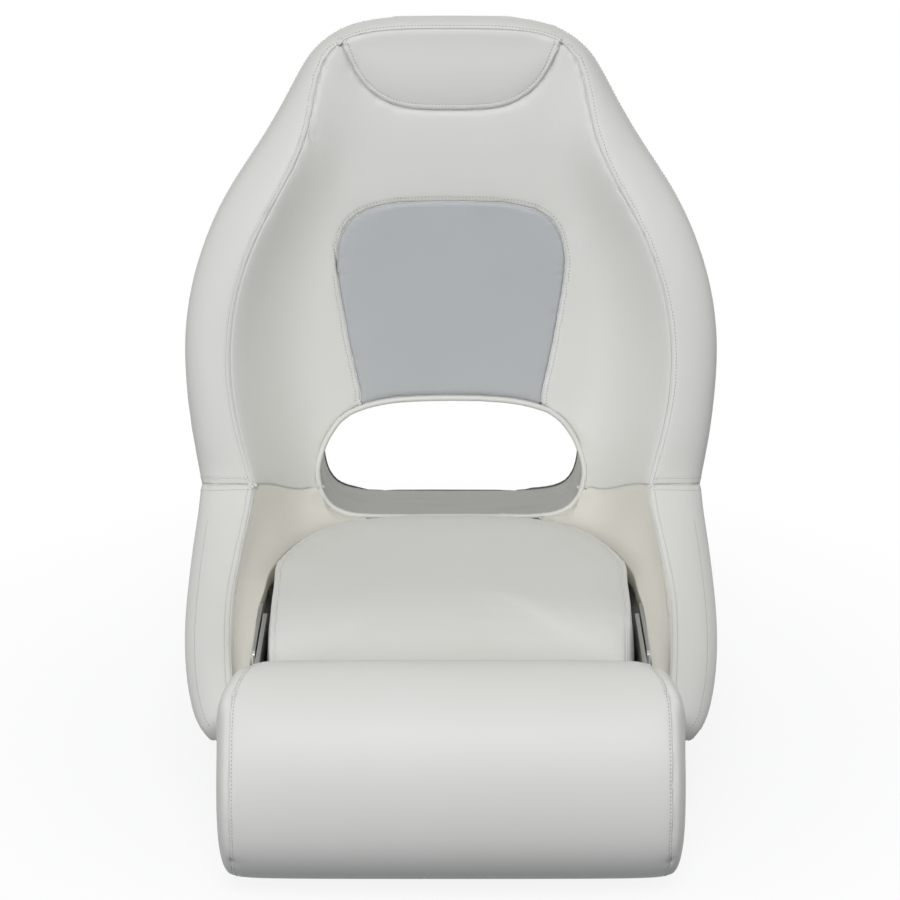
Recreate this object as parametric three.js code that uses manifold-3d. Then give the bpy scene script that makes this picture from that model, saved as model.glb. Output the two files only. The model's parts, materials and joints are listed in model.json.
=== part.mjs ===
// Bucket helm seat for a boat, with a front thigh bolster that flips up on two steel arms.
// X points to the right of someone looking at the front, +Y to the rear and +Z up, in millimetres.
// The origin is the middle of the flat underside that bolts to a seat slide or pedestal.

import * as THREE from 'three';
import { mergeVertices } from 'three/addons/utils/BufferGeometryUtils.js';
import Module from 'manifold-3d';

const wasm = await Module();
wasm.setup();

// Overall sizes of the bucket
const seatWidth = 578;
const seatHeight = 738;
const bucketDepth = 520;
const halfWidth = seatWidth / 2;

// Clearances and walls
const fitGap = 0.3;
const seamGap = 0.7;
const shellGap = 0.6;
const boltGap = 0.35;
const boreOverrun = 1;
const cutOverrun = 40;
const coverThickness = 5;
const shellWall = 8;
const trimThickness = 4.5;

// Flip-up hinge
const pivotDepthShare = 0.25;
const pivotHeightShare = 0.13957;
const swingShare = 0.14905;
const pivotY = -pivotDepthShare * bucketDepth;
const pivotZ = pivotHeightShare * seatHeight;
const swingRadius = swingShare * seatHeight;
const bolsterRearY = pivotY - swingRadius;
const pivotBoltRadius = 5;
const stopPinRadius = 4.5;
const stopPinReach = 52;
const stopPinAngle = 15;
const flipAngle = 90;
const armThickness = 4.2;
const washerThickness = 1;
const bracketThickness = 3.6;

// Seat cushion and its board. The cushion is widest behind the arms, which pass its narrow part.
const cushionWidthShare = 0.6643;
const cushionNarrowShare = 0.977;
const cushionBaseShare = 0.1328;
const cushionFrontGap = 4;
const cushionRearGap = 1.9;
const cushionArmGap = 1;
const cushionTopGap = 1.6;
const cushionRearDrop = 2.4;
const cushionHalfWidth = cushionWidthShare * halfWidth;
const cushionFrontY = bolsterRearY + cushionFrontGap;
const cushionBaseZ = cushionBaseShare * seatHeight;
const cushionTopZ = pivotZ + swingRadius - cushionTopGap;
const cushionRearTopZ = cushionTopZ - cushionRearDrop;
const cushionBoardThickness = 12;
const armInnerX = cushionNarrowShare * cushionHalfWidth + cushionArmGap;
const coreInnerX = armInnerX + armThickness + washerThickness + 2 * fitGap + bracketThickness + fitGap;

// Bolster, wider than its arms, which swings clear above the cushion
const bolsterArmMargin = 15.2;
const bolsterHalfWidth = armInnerX + armThickness + bolsterArmMargin;
const bolsterEndBulge = 15;
const bolsterDepth = 128;
const bolsterRise = 1.5;
const bolsterTopZ = pivotZ + swingRadius + bolsterRise;
const bolsterBottomZ = 6;
const bolsterNoseRadius = 75;
const bolsterBoardThickness = 12;
const bolsterBoardRecess = 4;

// Fasteners
const mountPitch = 127;
const insertBore = 3.4;
const insertRadius = 5.5;
const insertFlangeRadius = 11;
const insertFlangeThickness = 2;
const insertRecess = 0.5;
const screwRadius = 2.6;
const screwHeadRadius = 5;
const screwHeadThickness = 1.8;
const bracketBoltRadius = 3;
const bracketBoltHeadRadius = 5.5;
const bracketBoltHeadThickness = 1;

// The waist seam lies in a plane that rises towards the front
const waistTilt = THREE.MathUtils.degToRad(20);

const vector = (x, y, z) => new THREE.Vector3(x, y, z);
const mix = THREE.MathUtils.lerp;
const placeShare = ([x, y, z]) => vector(x * halfWidth, y * bucketDepth, z * seatHeight);

// Guide lines of the upholstery, as shares of half the width, the depth and the height.
// They share one index: 0 is the middle of the top, 3 its corner, 13 the waist and 19 the front end.
const ridgeShares = [
  [0, 0.427, 0.989], [0.208, 0.427, 0.988], [0.339, 0.427, 0.981], [0.408, 0.425, 0.970],
  [0.471, 0.415, 0.944], [0.505, 0.392, 0.894], [0.540, 0.354, 0.833], [0.626, 0.313, 0.768],
  [0.713, 0.279, 0.709], [0.785, 0.244, 0.637], [0.820, 0.212, 0.556], [0.810, 0.181, 0.474],
  [0.768, 0.158, 0.404], [0.737, 0.144, 0.358], [0.761, 0.038, 0.312], [0.785, -0.115, 0.266],
  [0.775, -0.250, 0.245], [0.754, -0.369, 0.225], [0.737, -0.438, 0.188], [0.727, -0.423, 0.145],
];
const outerShares = [
  [0, 0.481, 1], [0.235, 0.480, 0.999], [0.388, 0.476, 0.985], [0.471, 0.469, 0.967],
  [0.536, 0.460, 0.942], [0.606, 0.441, 0.894], [0.696, 0.402, 0.833], [0.820, 0.362, 0.767],
  [0.903, 0.325, 0.709], [0.969, 0.288, 0.637], [1, 0.258, 0.556], [0.991, 0.231, 0.474],
  [0.969, 0.208, 0.404], [0.943, 0.190, 0.347], [0.962, 0.081, 0.280], [0.962, -0.087, 0.233],
  [0.941, -0.240, 0.210], [0.900, -0.365, 0.180], [0.855, -0.421, 0.160], [0.817, -0.412, 0.140],
];
const coverSeamShares = [
  [0, 0.531, 0.995], [0.242, 0.531, 0.993], [0.394, 0.529, 0.980], [0.478, 0.525, 0.962],
  [0.543, 0.519, 0.936], [0.609, 0.506, 0.890], [0.699, 0.475, 0.831], [0.820, 0.438, 0.764],
  [0.903, 0.404, 0.706], [0.965, 0.369, 0.636], [0.993, 0.340, 0.556], [0.986, 0.315, 0.474],
  [0.962, 0.290, 0.401], [0.934, 0.271, 0.327], [0.955, 0.119, 0.245], [0.952, -0.077, 0.207],
  [0.931, -0.235, 0.186], [0.889, -0.354, 0.161], [0.848, -0.400, 0.148], [0.817, -0.392, 0.137],
];
const cornerIndex = 3;
const waistIndex = 13;
const frontIndex = 19;
const indexStep = 0.5;

// Direction from the upholstery into the seat at each index, in degrees down from +Y
const spokeTilts = [0, 0, 0, 0, 0, 0, 0, 0, 0, 0, 0, 6, 13, 20, 52, 76, 80, 66, 20, 0];
const padDepthShares = [1, 1, 1, 1, 1, 1, 1, 1, 1, 1, 1, 1, 1, 0.9, 0.7, 0.6, 0.6, 0.4, 0.28, 0.22];
const padDepth = 100;

// Edge of the grey insert, then of the opening, and lower edge of the headrest panel: x and z
const insertEdgeShares = [
  [0, 0.740], [0.200, 0.7365], [0.318, 0.726], [0.388, 0.708], [0.422, 0.682], [0.434, 0.655],
  [0.430, 0.630], [0.421, 0.604], [0.409, 0.575], [0.388, 0.530], [0.363, 0.482], [0.345, 0.439],
  [0.464, 0.390], [0.509, 0.318],
];
const headrestEdgeShares = [[0, 0.870], [0.200, 0.874], [0.336, 0.908], [0.408, 0.968]];
const openingShares = [
  [0, 0.445], [0.208, 0.442], [0.339, 0.431], [0.412, 0.413], [0.450, 0.394], [0.474, 0.377],
  [0.491, 0.358], [0.500, 0.344], [0.491, 0.312], [0.457, 0.287], [0.388, 0.275], [0.277, 0.2717],
  [0, 0.271],
];

// Rear line of the back and of the tub: y and z
const rearLineShares = [
  [0.269, 0], [0.319, 0.016], [0.362, 0.054], [0.396, 0.115], [0.415, 0.183], [0.429, 0.274],
  [0.444, 0.359], [0.465, 0.458], [0.488, 0.562], [0.512, 0.671], [0.533, 0.779], [0.550, 0.867],
  [0.558, 0.935], [0.554, 0.973], [0.540, 0.995],
];
// Tub below the side pads: half width, front, height and front corner
const tubShares = [
  [0.678, -0.358, 0, 0.023], [0.713, -0.377, 0.019, 0.023], [0.747, -0.388, 0.061, 0.023],
  [0.782, -0.394, 0.108, 0.023],
];
// Lower edge of the hip pad beside the cushion, from the middle of the rear to the front end.
// Its widths are shares of the distance to the side core, so that it keeps clear of the hinge.
const hipEdgeShares = [
  [0, 0.2925, 0.264], [0.252, 0.291, 0.264], [0.463, 0.275, 0.264], [0.66, 0.241, 0.263],
  [0.797, 0.185, 0.261], [0.883, 0.124, 0.26], [0.944, 0.066, 0.258], [0.978, 0.01, 0.257],
  [0.984, -0.06, 0.2555], [1.005, -0.123, 0.249], [1.009, -0.212, 0.238], [1.014, -0.308, 0.222],
  [1.019, -0.385, 0.2], [1.009, -0.427, 0.165], [1.009, -0.412, 0.141],
];
// Its upper edge below the opening, up to where the waist seam starts
const hipRearShares = [[0, 0.270], [0.208, 0.270], [0.381, 0.277], [0.509, 0.318]];

// Front line of the back in the middle, and how far up the sides it stays flat
const backFootShares = [0.28846, 0.27371];
const backFootY = backFootShares[0] * bucketDepth;
const backFootZ = backFootShares[1] * seatHeight;
const backLean = 0.1495;
const flatShare = 0.62;
const rollPower = 1.8;
const cornerPower = 0.58;
const backCrown = 2.5;
const headrestCrown = 6;
const hipSag = 7;

// Closed solids and cuts

function triangulate(ring) {
  const normal = vector(0, 0, 0);
  ring.forEach((point, i) => {
    const next = ring[(i + 1) % ring.length];
    normal.add(vector(0, 0, 0).crossVectors(point, next));
  });
  normal.normalize();
  const side = Math.abs(normal.x) > 0.8 ? vector(0, 1, 0) : vector(1, 0, 0);
  const across = side.addScaledVector(normal, -side.dot(normal)).normalize();
  const up = vector(0, 0, 0).crossVectors(normal, across);
  const flat = ring.map((point) => new THREE.Vector2(point.dot(across), point.dot(up)));
  return THREE.ShapeUtils.triangulateShape(flat, []);
}

function closedMesh(points, faces) {
  let volume = 0;
  for (const [a, b, c] of faces) {
    volume += points[a].dot(vector(0, 0, 0).crossVectors(points[b], points[c]));
  }
  const order = volume < 0 ? ([a, b, c]) => [a, c, b] : (face) => face;
  const vertProperties = new Float32Array(points.flatMap((point) => [point.x, point.y, point.z]));
  const triVerts = new Uint32Array(faces.flatMap(order));
  return new wasm.Manifold(new wasm.Mesh({ numProp: 3, vertProperties, triVerts }));
}

// A solid through a row of rings with the same number of points
function loft(rings, { loop = false } = {}) {
  const count = rings[0].length;
  const points = rings.flat();
  const faces = [];
  const last = loop ? rings.length : rings.length - 1;
  for (let i = 0; i < last; i += 1) {
    const here = i * count;
    const there = ((i + 1) % rings.length) * count;
    for (let j = 0; j < count; j += 1) {
      const next = (j + 1) % count;
      faces.push([here + j, there + j, there + next], [here + j, there + next, here + next]);
    }
  }
  if (!loop) {
    const base = (rings.length - 1) * count;
    for (const [a, b, c] of triangulate(rings[0])) {
      faces.push([a, b, c]);
    }
    for (const [a, b, c] of triangulate(rings[rings.length - 1])) {
      faces.push([base + a, base + c, base + b]);
    }
  }
  return closedMesh(points, faces);
}

// An outline given as [u, v] pairs, stretched between two places along one axis
function prism(axis, outline, from, to) {
  const turn = {
    x: (u, v, w) => vector(w, u, v),
    y: (u, v, w) => vector(u, w, v),
    z: (u, v, w) => vector(u, v, w),
  }[axis];
  return loft([from, to].map((w) => outline.map(([u, v]) => turn(u, v, w))));
}

const block = (x0, x1, y0, y1, z0, z1) => prism('z', [[x0, y0], [x1, y0], [x1, y1], [x0, y1]], z0, z1);

// A turned piece on an axis along X or Z, from a profile of [radius, height] pairs
function turned(axis, profile, centre, segments = 16) {
  const geometry = new THREE.LatheGeometry(profile.map(([r, h]) => new THREE.Vector2(r, h)), segments);
  geometry.deleteAttribute('normal');
  geometry.deleteAttribute('uv');
  const merged = mergeVertices(geometry);
  if (axis === 'z') merged.rotateX(Math.PI / 2);
  if (axis === 'x') merged.rotateZ(-Math.PI / 2);
  merged.translate(centre.x, centre.y, centre.z);
  const place = merged.attributes.position;
  const points = [];
  for (let i = 0; i < place.count; i += 1) {
    points.push(vector(place.getX(i), place.getY(i), place.getZ(i)));
  }
  const faces = [];
  const index = merged.index.array;
  for (let i = 0; i < index.length; i += 3) {
    const face = [index[i], index[i + 1], index[i + 2]];
    if (new Set(face).size === 3) faces.push(face);
  }
  return closedMesh(points, faces);
}

const rod = (axis, radius, from, to, centre, segments) => turned(
  axis, [[0, from], [radius, from], [radius, to], [0, to]], centre, segments);

function mirrored(solid) {
  const mesh = solid.getMesh();
  const points = [];
  for (let i = 0; i < mesh.vertProperties.length; i += mesh.numProp) {
    points.push(vector(-mesh.vertProperties[i], mesh.vertProperties[i + 1], mesh.vertProperties[i + 2]));
  }
  const faces = [];
  for (let i = 0; i < mesh.triVerts.length; i += 3) {
    faces.push([mesh.triVerts[i], mesh.triVerts[i + 1], mesh.triVerts[i + 2]]);
  }
  return closedMesh(points, faces);
}

// Guide lines and the surfaces that they carry

function guide(places) {
  const curve = new THREE.CatmullRomCurve3(places, false, 'centripetal');
  return (index) => curve.getPoint(THREE.MathUtils.clamp(index / (places.length - 1), 0, 1));
}

const ridgeAt = guide(ridgeShares.map(placeShare));
const outerAt = guide(outerShares.map(placeShare));
const coverSeamAt = guide(coverSeamShares.map(placeShare));
const insertEdgeAt = guide(insertEdgeShares.map(([x, z]) => placeShare([x, 0, z])));
const headrestEdgeAt = guide(headrestEdgeShares.map(([x, z]) => placeShare([x, 0, z])));
const hipEdgeAt = guide(hipEdgeShares.map(([x, y, z]) => placeShare([x * coreInnerX / halfWidth, y, z])));
const cushionRearY = hipEdgeAt(0).y - cushionRearGap;
const rearLineAt = guide(rearLineShares.map(([y, z]) => placeShare([0, y, z])));

function steps(from, to, step) {
  const count = Math.round(Math.abs(to - from) / step);
  return Array.from({ length: count + 1 }, (unused, i) => mix(from, to, i / count));
}

// Value of a line at a height, where the line only rises or only falls
function lineLookup(points) {
  const sorted = [...points].sort((a, b) => a.z - b.z);
  return (z) => {
    const upper = sorted.findIndex((point) => point.z >= z);
    if (upper === 0) return sorted[0];
    if (upper === -1) return sorted[sorted.length - 1];
    const low = sorted[upper - 1];
    const high = sorted[upper];
    return low.clone().lerp(high, (z - low.z) / (high.z - low.z));
  };
}

const ridgeByHeight = lineLookup(steps(cornerIndex, waistIndex, indexStep).map(ridgeAt));
const rearByHeight = lineLookup(steps(0, rearLineShares.length - 1, indexStep).map(rearLineAt));
const sideRows = steps(frontIndex, 1, 1).map(coverSeamAt);
const sideByHeight = lineLookup(sideRows);

function tableAt(table, index) {
  const low = Math.min(Math.floor(index), table.length - 2);
  return mix(table[low], table[low + 1], index - low);
}

const middleY = (z) => backFootY + backLean * (z - backFootZ);

// Front of the back at any place: flat in the middle, rolling forward to the ridge
function backFaceY(x, z) {
  const ridge = ridgeByHeight(z);
  const share = Math.min(Math.abs(x) / ridge.x, 1);
  const roll = Math.max(share - flatShare, 0) / (1 - flatShare);
  return middleY(z) - (middleY(z) - ridge.y) * roll ** rollPower;
}

const onBack = (place) => vector(place.x, backFaceY(place.x, place.z), place.z);

function spokeAt(index) {
  const tilt = THREE.MathUtils.degToRad(tableAt(spokeTilts, index));
  return vector(0, Math.cos(tilt), -Math.sin(tilt));
}

function outwardAt(index) {
  const reach = indexStep / 5;
  const along = ridgeAt(index + reach).sub(ridgeAt(index - reach));
  return along.cross(spokeAt(index)).normalize();
}

// Skin of the bucket: one level section, with a straight front and a squarish rounded rear

const tubRows = tubShares.map(([half, front, z, corner]) => ({
  z: z * seatHeight, half: half * halfWidth, front: front * bucketDepth, corner: corner * bucketDepth,
}));
const tubTopZ = tubRows[tubRows.length - 1].z;
const sideCorner = 1.5;

function sectionAt(z) {
  const rear = rearByHeight(z).y;
  if (z > tubTopZ) {
    const side = sideByHeight(z);
    return { half: side.x, front: side.y, corner: sideCorner, rear };
  }
  const upper = Math.max(tubRows.findIndex((row) => row.z >= z), 1);
  const low = tubRows[upper - 1];
  const high = tubRows[upper];
  const share = (z - low.z) / (high.z - low.z);
  return {
    half: mix(low.half, high.half, share),
    front: mix(low.front, high.front, share),
    corner: mix(low.corner, high.corner, share),
    rear,
  };
}

const skinTopZ = coverSeamAt(1).z;
const rowHeights = [...tubRows.map((row) => row.z), ...sideRows.map((row) => row.z)].sort((a, b) => a - b);
const roundSteps = 7;
const leastRow = 1;

// Closed body inside the skin by an inset. Its front is closed by a straight wall, or runs on forward.
function skinBody({ inset, bottomZ, tubOpen = false, sideOpen = false, tubFront = 0 }) {
  const topZ = skinTopZ - 2 * inset;
  const heights = rowHeights.filter((z) => z > bottomZ + leastRow && z < topZ - leastRow);
  const rings = [bottomZ, ...heights, topZ].map((z) => {
    const section = sectionAt(z);
    const inTub = z <= tubTopZ;
    const half = section.half - inset;
    const front = section.front + (inTub ? tubFront : 0);
    const corner = section.corner;
    const start = front + corner;
    const rear = Math.max(section.rear - inset, start + corner);
    const right = [];
    for (let i = 0; i <= roundSteps; i += 1) {
      const angle = (Math.PI / 2) * (1 - i / roundSteps);
      const x = half * Math.sin(angle) ** cornerPower;
      right.push([x, start + (rear - start) * Math.cos(angle) ** cornerPower]);
    }
    const left = right.slice(0, -1).reverse().map(([x, y]) => [-x, y]);
    const open = inTub ? tubOpen : sideOpen;
    const edge = open ? [half, front - cutOverrun] : [half - corner, front];
    return [...right, ...left, [-edge[0], edge[1]], edge].map(([x, y]) => vector(x, y, z));
  });
  return loft(rings);
}

// The opening, and the same outline moved outward
const openingGuide = guide(openingShares.map(([x, z]) => placeShare([x, 0, z])));
const openingHalf = steps(0, openingShares.length - 1, indexStep).map(openingGuide);
const openingLoop = [
  ...openingHalf,
  ...openingHalf.slice(1, -1).reverse().map((point) => vector(-point.x, 0, point.z)),
];

function openingOutline(outset) {
  return openingLoop.map((point, i) => {
    const before = openingLoop[(i + openingLoop.length - 1) % openingLoop.length];
    const after = openingLoop[(i + 1) % openingLoop.length];
    const along = after.clone().sub(before).normalize();
    return [point.x - along.z * outset, point.z + along.x * outset];
  });
}

const backReachY = bucketDepth;
const openingCut = prism('y', openingOutline(trimThickness + fitGap), -backReachY, backReachY);

// Moulded shell: bucket wall, solid side cores, floor posts and fastener holes

const coreDepth = 31;
const coreRearShare = 0.1923;
const coreFrontShare = -0.3846;
const coreRearY = coreRearShare * bucketDepth;
const coreFrontY = coreFrontShare * bucketDepth;
const coreRows = steps(waistIndex, frontIndex - 1, indexStep).map(ridgeAt);

function coreBlock(grow) {
  const top = coreRows
    .filter((point) => point.y < coreRearY && point.y > coreFrontY)
    .map((point) => [point.y, point.z - coreDepth + grow]);
  const profile = [
    [coreRearY + grow, shellWall / 2], [coreRearY + grow, coreRows[0].z - coreDepth + grow],
    ...top, [coreFrontY - grow, top[top.length - 1][1] - coreDepth / 3],
    [coreFrontY - grow, shellWall / 2],
  ];
  const whole = prism('x', profile, coreInnerX - grow, halfWidth);
  const inside = skinBody({ inset: coverThickness + fitGap - grow, bottomZ: 0 });
  return whole.intersect(inside);
}

const cavityInset = coverThickness + fitGap + shellWall;
const cavity = (grow) => skinBody({
  inset: cavityInset + grow, bottomZ: shellWall + grow, tubFront: shellWall + grow, sideOpen: true,
});

const rightCore = coreBlock(0);
const cushionBoardBaseZ = cushionBaseZ - fitGap - cushionBoardThickness;
const postTopZ = cushionBoardBaseZ - fitGap;
const postWidthShare = 0.4083;
const postDepthShares = [-0.2269, 0.1577];
const postPlaces = [-1, 1].flatMap((side) => postDepthShares.map(
  (share) => [side * postWidthShare * halfWidth, share * bucketDepth]));
const postFootRadius = 26;
const postTopRadius = 15;
const postBore = 8.5;
const postCap = 12;
const nutPocketRadius = 10;
const nutPocketDepth = 10;
const bracketBoltDepth = 9;

// Places on the hinge plates are shares of the swing radius, from the pivot, as [rearward, upward]
const hingePlace = ([y, z]) => [pivotY + y * swingRadius, pivotZ + z * swingRadius];
const bracketBoltShares = [[0.836, -0.318], [0.836, 0.173], [-0.345, -0.4]];
const bracketBoltPlaces = bracketBoltShares.map(hingePlace);
const bracketShares = [
  [-0.491, 0.745], [-0.455, 0.773], [0.582, 0.773], [0.627, 0.727], [0.655, 0.509], [0.891, 0.336],
  [0.982, 0.245], [0.982, -0.409], [0.909, -0.5], [-0.182, -0.555], [-0.4, -0.527], [-0.491, -0.464],
  [-0.518, -0.336], [-0.545, -0.118], [-0.582, 0.336],
];

// Room that the shell and the pads leave round each hinge plate
const hingeRoomShare = 1.01;
const hingeRoomOutline = bracketShares.map(([y, z]) => hingePlace([y * hingeRoomShare, z * hingeRoomShare]));
const hingeRoom = prism('x', hingeRoomOutline, armInnerX - fitGap, coreInnerX);
const bothHingeRooms = hingeRoom.add(mirrored(hingeRoom));
const mountPlaces = [-1, 1].flatMap((sx) => [-1, 1].map((sy) => [sx * mountPitch / 2, sy * mountPitch / 2]));

function seatShell() {
  const outer = skinBody({ inset: coverThickness + fitGap, bottomZ: 0 });
  let shell = outer.subtract(cavity(0)).add(rightCore).add(mirrored(rightCore));
  for (const [x, y] of postPlaces) {
    const profile = [[0, 0], [postFootRadius, 0], [postTopRadius, postTopZ - shellWall / 2],
      [0, postTopZ - shellWall / 2]];
    shell = shell.add(turned('z', profile, vector(x, y, shellWall / 2)));
    shell = shell.subtract(rod('z', postBore, -cutOverrun, postTopZ - postCap, vector(x, y, 0)));
    shell = shell.subtract(rod('z', screwRadius + boltGap, 0, postTopZ + cutOverrun, vector(x, y, 0)));
  }
  for (const [x, y] of mountPlaces) {
    shell = shell.subtract(rod('z', insertRadius + fitGap, -cutOverrun, cutOverrun, vector(x, y, 0)));
  }
  for (const side of [-1, 1]) {
    const bore = (radius, depth, [y, z], segments) => {
      const span = [side * (coreInnerX - boreOverrun), side * (coreInnerX + depth)].sort((a, b) => a - b);
      return rod('x', radius, ...span, vector(0, y, z), segments);
    };
    shell = shell.subtract(bore(nutPocketRadius, nutPocketDepth, [pivotY, pivotZ]));
    for (const place of bracketBoltPlaces) {
      shell = shell.subtract(bore(bracketBoltRadius + boltGap, bracketBoltDepth, place, 12));
    }
  }
  return shell.subtract(bothHingeRooms).subtract(openingCut);
}

// Room that the pads may fill: the hollow of the shell and everything in front of its edge
const frontRows = rowHeights.filter((z) => z > tubTopZ);
const frontSpace = loft([frontRows[0] - shellWall, ...frontRows, skinTopZ + cutOverrun].map((z) => {
  const edge = sectionAt(Math.max(z, frontRows[0])).front - shellGap;
  return [
    vector(seatWidth, edge, z + shellGap), vector(-seatWidth, edge, z + shellGap),
    vector(-seatWidth, -bucketDepth, z + shellGap), vector(seatWidth, -bucketDepth, z + shellGap),
  ];
}));
const grownCore = coreBlock(shellGap);
const padSpace = cavity(shellGap).add(frontSpace)
  .subtract(grownCore).subtract(mirrored(grownCore)).subtract(bothHingeRooms);
const fitted = (raw) => raw.intersect(padSpace).subtract(openingCut);

// Covers on the outside of the shell

const coverBottomZ = 30;
const coverSplitY = coreRearY;
const cover = skinBody({ inset: 0, bottomZ: coverBottomZ })
  .subtract(skinBody({
    inset: coverThickness, bottomZ: coverBottomZ - cutOverrun / 4, tubOpen: true, sideOpen: true,
  }))
  .subtract(openingCut);
const coverPart = (x0, x1, y0, y1) => cover.intersect(block(x0, x1, y0, y1, -seatHeight, 2 * seatHeight));

// Border pads: a rounded band from the ridge seam over the edge of the bucket to the cover seam

const bandSteps = 6;
const seamNormal = vector(0, Math.sin(waistTilt), Math.cos(waistTilt));

function borderRing(index) {
  const ridge = ridgeAt(index);
  const outer = outerAt(index);
  const seam = coverSeamAt(index);
  const spoke = spokeAt(index);
  const depth = padDepth * tableAt(padDepthShares, index);
  const start = ridge.clone().addScaledVector(outwardAt(index), seamGap / 2);
  const shoulder = vector(outer.x, ridge.y, Math.max(ridge.z, outer.z));
  const ring = [];
  for (let i = 0; i <= bandSteps; i += 1) {
    const angle = (Math.PI / 2) * (i / bandSteps);
    const point = start.clone().addScaledVector(shoulder.clone().sub(start), Math.sin(angle));
    ring.push(point.addScaledVector(outer.clone().sub(shoulder), 1 - Math.cos(angle)));
  }
  ring.push(outer.clone().lerp(seam, 0.5), seam.clone());
  const inward = vector(-coverThickness, 0, 0).addScaledVector(spoke, depth / 4);
  ring.push(seam.clone().add(inward));
  ring.push(start.clone().addScaledVector(spoke, depth));
  return ring;
}

const flipX = (ring) => ring.map((point) => vector(-point.x, point.y, point.z));
const shiftRing = (ring, offset) => ring.map((point) => point.clone().addScaledVector(seamNormal, offset));

// Its rings run the other way round, so that its wall meets the back pad facet to facet
function wingPad() {
  const rings = steps(0, waistIndex, indexStep).map((index) => borderRing(index).reverse());
  rings[rings.length - 1] = shiftRing(rings[rings.length - 1], seamGap / 2);
  return fitted(loft([...rings.slice(1).reverse().map(flipX), ...rings]));
}

function sidePad(side) {
  const rings = steps(waistIndex, frontIndex, indexStep).map(borderRing);
  rings[0] = shiftRing(rings[0], -seamGap / 2);
  return fitted(loft(side > 0 ? rings : rings.map(flipX)));
}

// Pads between two edges, with a crown that falls to nothing at the seams

const acrossSteps = 8;
const crownAt = (share) => Math.sin(Math.PI * share) ** 0.7;

function backRing(index) {
  const outward = outwardAt(index);
  const inner = insertEdgeAt(index).addScaledVector(insertOutwardAt(index), seamGap / 2);
  const byHeadrest = index <= cornerIndex;
  const outer = byHeadrest ? headrestEdgeAt(index) : ridgeAt(index);
  const trim = byHeadrest ? headrestOutwardAt(index) : outward;
  outer.addScaledVector(trim, -seamGap / 2);
  const start = onBack(inner);
  const end = byHeadrest ? onBack(outer) : outer;
  const level = THREE.MathUtils.smoothstep(index, waistIndex - 3, waistIndex);
  const ring = [];
  for (let i = 0; i <= acrossSteps; i += 1) {
    const share = i / acrossSteps;
    const point = onBack(start.clone().lerp(end, share));
    if (i === 0) point.copy(start);
    if (i === acrossSteps) point.copy(end);
    const drop = (point.y - end.y) / Math.max(start.y - end.y, fitGap);
    point.z = mix(point.z, mix(end.z, start.z, drop), level);
    point.y -= backCrown * crownAt(share) * (1 - level);
    ring.push(point);
  }
  const deep = spokeAt(index).multiplyScalar(padDepth * tableAt(padDepthShares, index));
  ring.push(end.clone().add(deep), start.clone().add(deep));
  return ring;
}

function edgeOutward(edgeAt, index) {
  const reach = indexStep / 5;
  const along = edgeAt(index + reach).sub(edgeAt(index - reach));
  return vector(-along.z, 0, along.x).normalize();
}
const insertOutwardAt = (index) => edgeOutward(insertEdgeAt, index);
const headrestOutwardAt = (index) => edgeOutward(headrestEdgeAt, index);

function backPad() {
  const rings = steps(0, waistIndex, indexStep).map(backRing);
  rings[rings.length - 1] = shiftRing(rings[rings.length - 1], seamGap / 2);
  return fitted(loft([...rings.slice(1).reverse().map(flipX), ...rings]));
}

const headrestSteps = 5;
const headrestTipShare = 0.15;

function headrestRing(index) {
  const low = headrestEdgeAt(index).addScaledVector(headrestOutwardAt(index), seamGap / 2);
  const high = ridgeAt(index).addScaledVector(outwardAt(index), -seamGap / 2);
  const ring = [];
  for (let i = 0; i <= headrestSteps; i += 1) {
    const share = i / headrestSteps;
    const point = onBack(low.clone().lerp(high, share));
    if (i === headrestSteps) point.copy(high);
    point.y -= headrestCrown * crownAt(share) * (1 - (index / cornerIndex) ** 4);
    ring.push(point);
  }
  const spoke = vector(0, padDepth, 0);
  ring.push(high.clone().add(spoke), onBack(low).add(spoke));
  return ring;
}

function headrestPad() {
  const rings = steps(0, cornerIndex, indexStep).map(headrestRing);
  const last = rings.length - 1;
  rings[last] = rings[last].map((point, i) => point.lerp(rings[last - 1][i], headrestTipShare));
  return fitted(loft([...rings.slice(1).reverse().map(flipX), ...rings]));
}

function backInsert() {
  const rings = steps(1, waistIndex - 2, indexStep).map((index) => {
    const edge = insertEdgeAt(index).addScaledVector(insertOutwardAt(index), -seamGap / 2);
    const ring = steps(-1, 1, 0.25).map((share) => onBack(vector(edge.x * share, 0, edge.z)));
    return [...ring, vector(edge.x, middleY(edge.z) + padDepth, edge.z),
      vector(-edge.x, middleY(edge.z) + padDepth, edge.z)];
  });
  return fitted(loft(rings));
}

// Hip pad: one piece from the waist seam and the ridge down to the cushion, running round behind it
const hipGuide = guide(hipRearShares.map(([x, z]) => placeShare([x, 0, z])));
const hipWaistFrom = hipRearShares.length - 1;
const hipWaistTo = hipWaistFrom + 2;
const hipLast = hipEdgeShares.length - 1;
const hipDepthShare = 0.6;
const waistFront = backRing(waistIndex).slice(0, acrossSteps + 1);
const hipIndex = (place) => {
  const share = (place - hipWaistTo) / (hipLast - hipWaistTo);
  return mix(waistIndex, frontIndex, Math.max(share, 0));
};

function hipUpper(place) {
  if (place < hipWaistFrom) return onBack(hipGuide(place));
  if (place <= hipWaistTo) {
    const share = (place - hipWaistFrom) / (hipWaistTo - hipWaistFrom);
    return waistFront[Math.round(share * acrossSteps)].clone().addScaledVector(seamNormal, -seamGap / 2);
  }
  const index = hipIndex(place);
  return ridgeAt(index).addScaledVector(outwardAt(index), -seamGap / 2);
}

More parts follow.
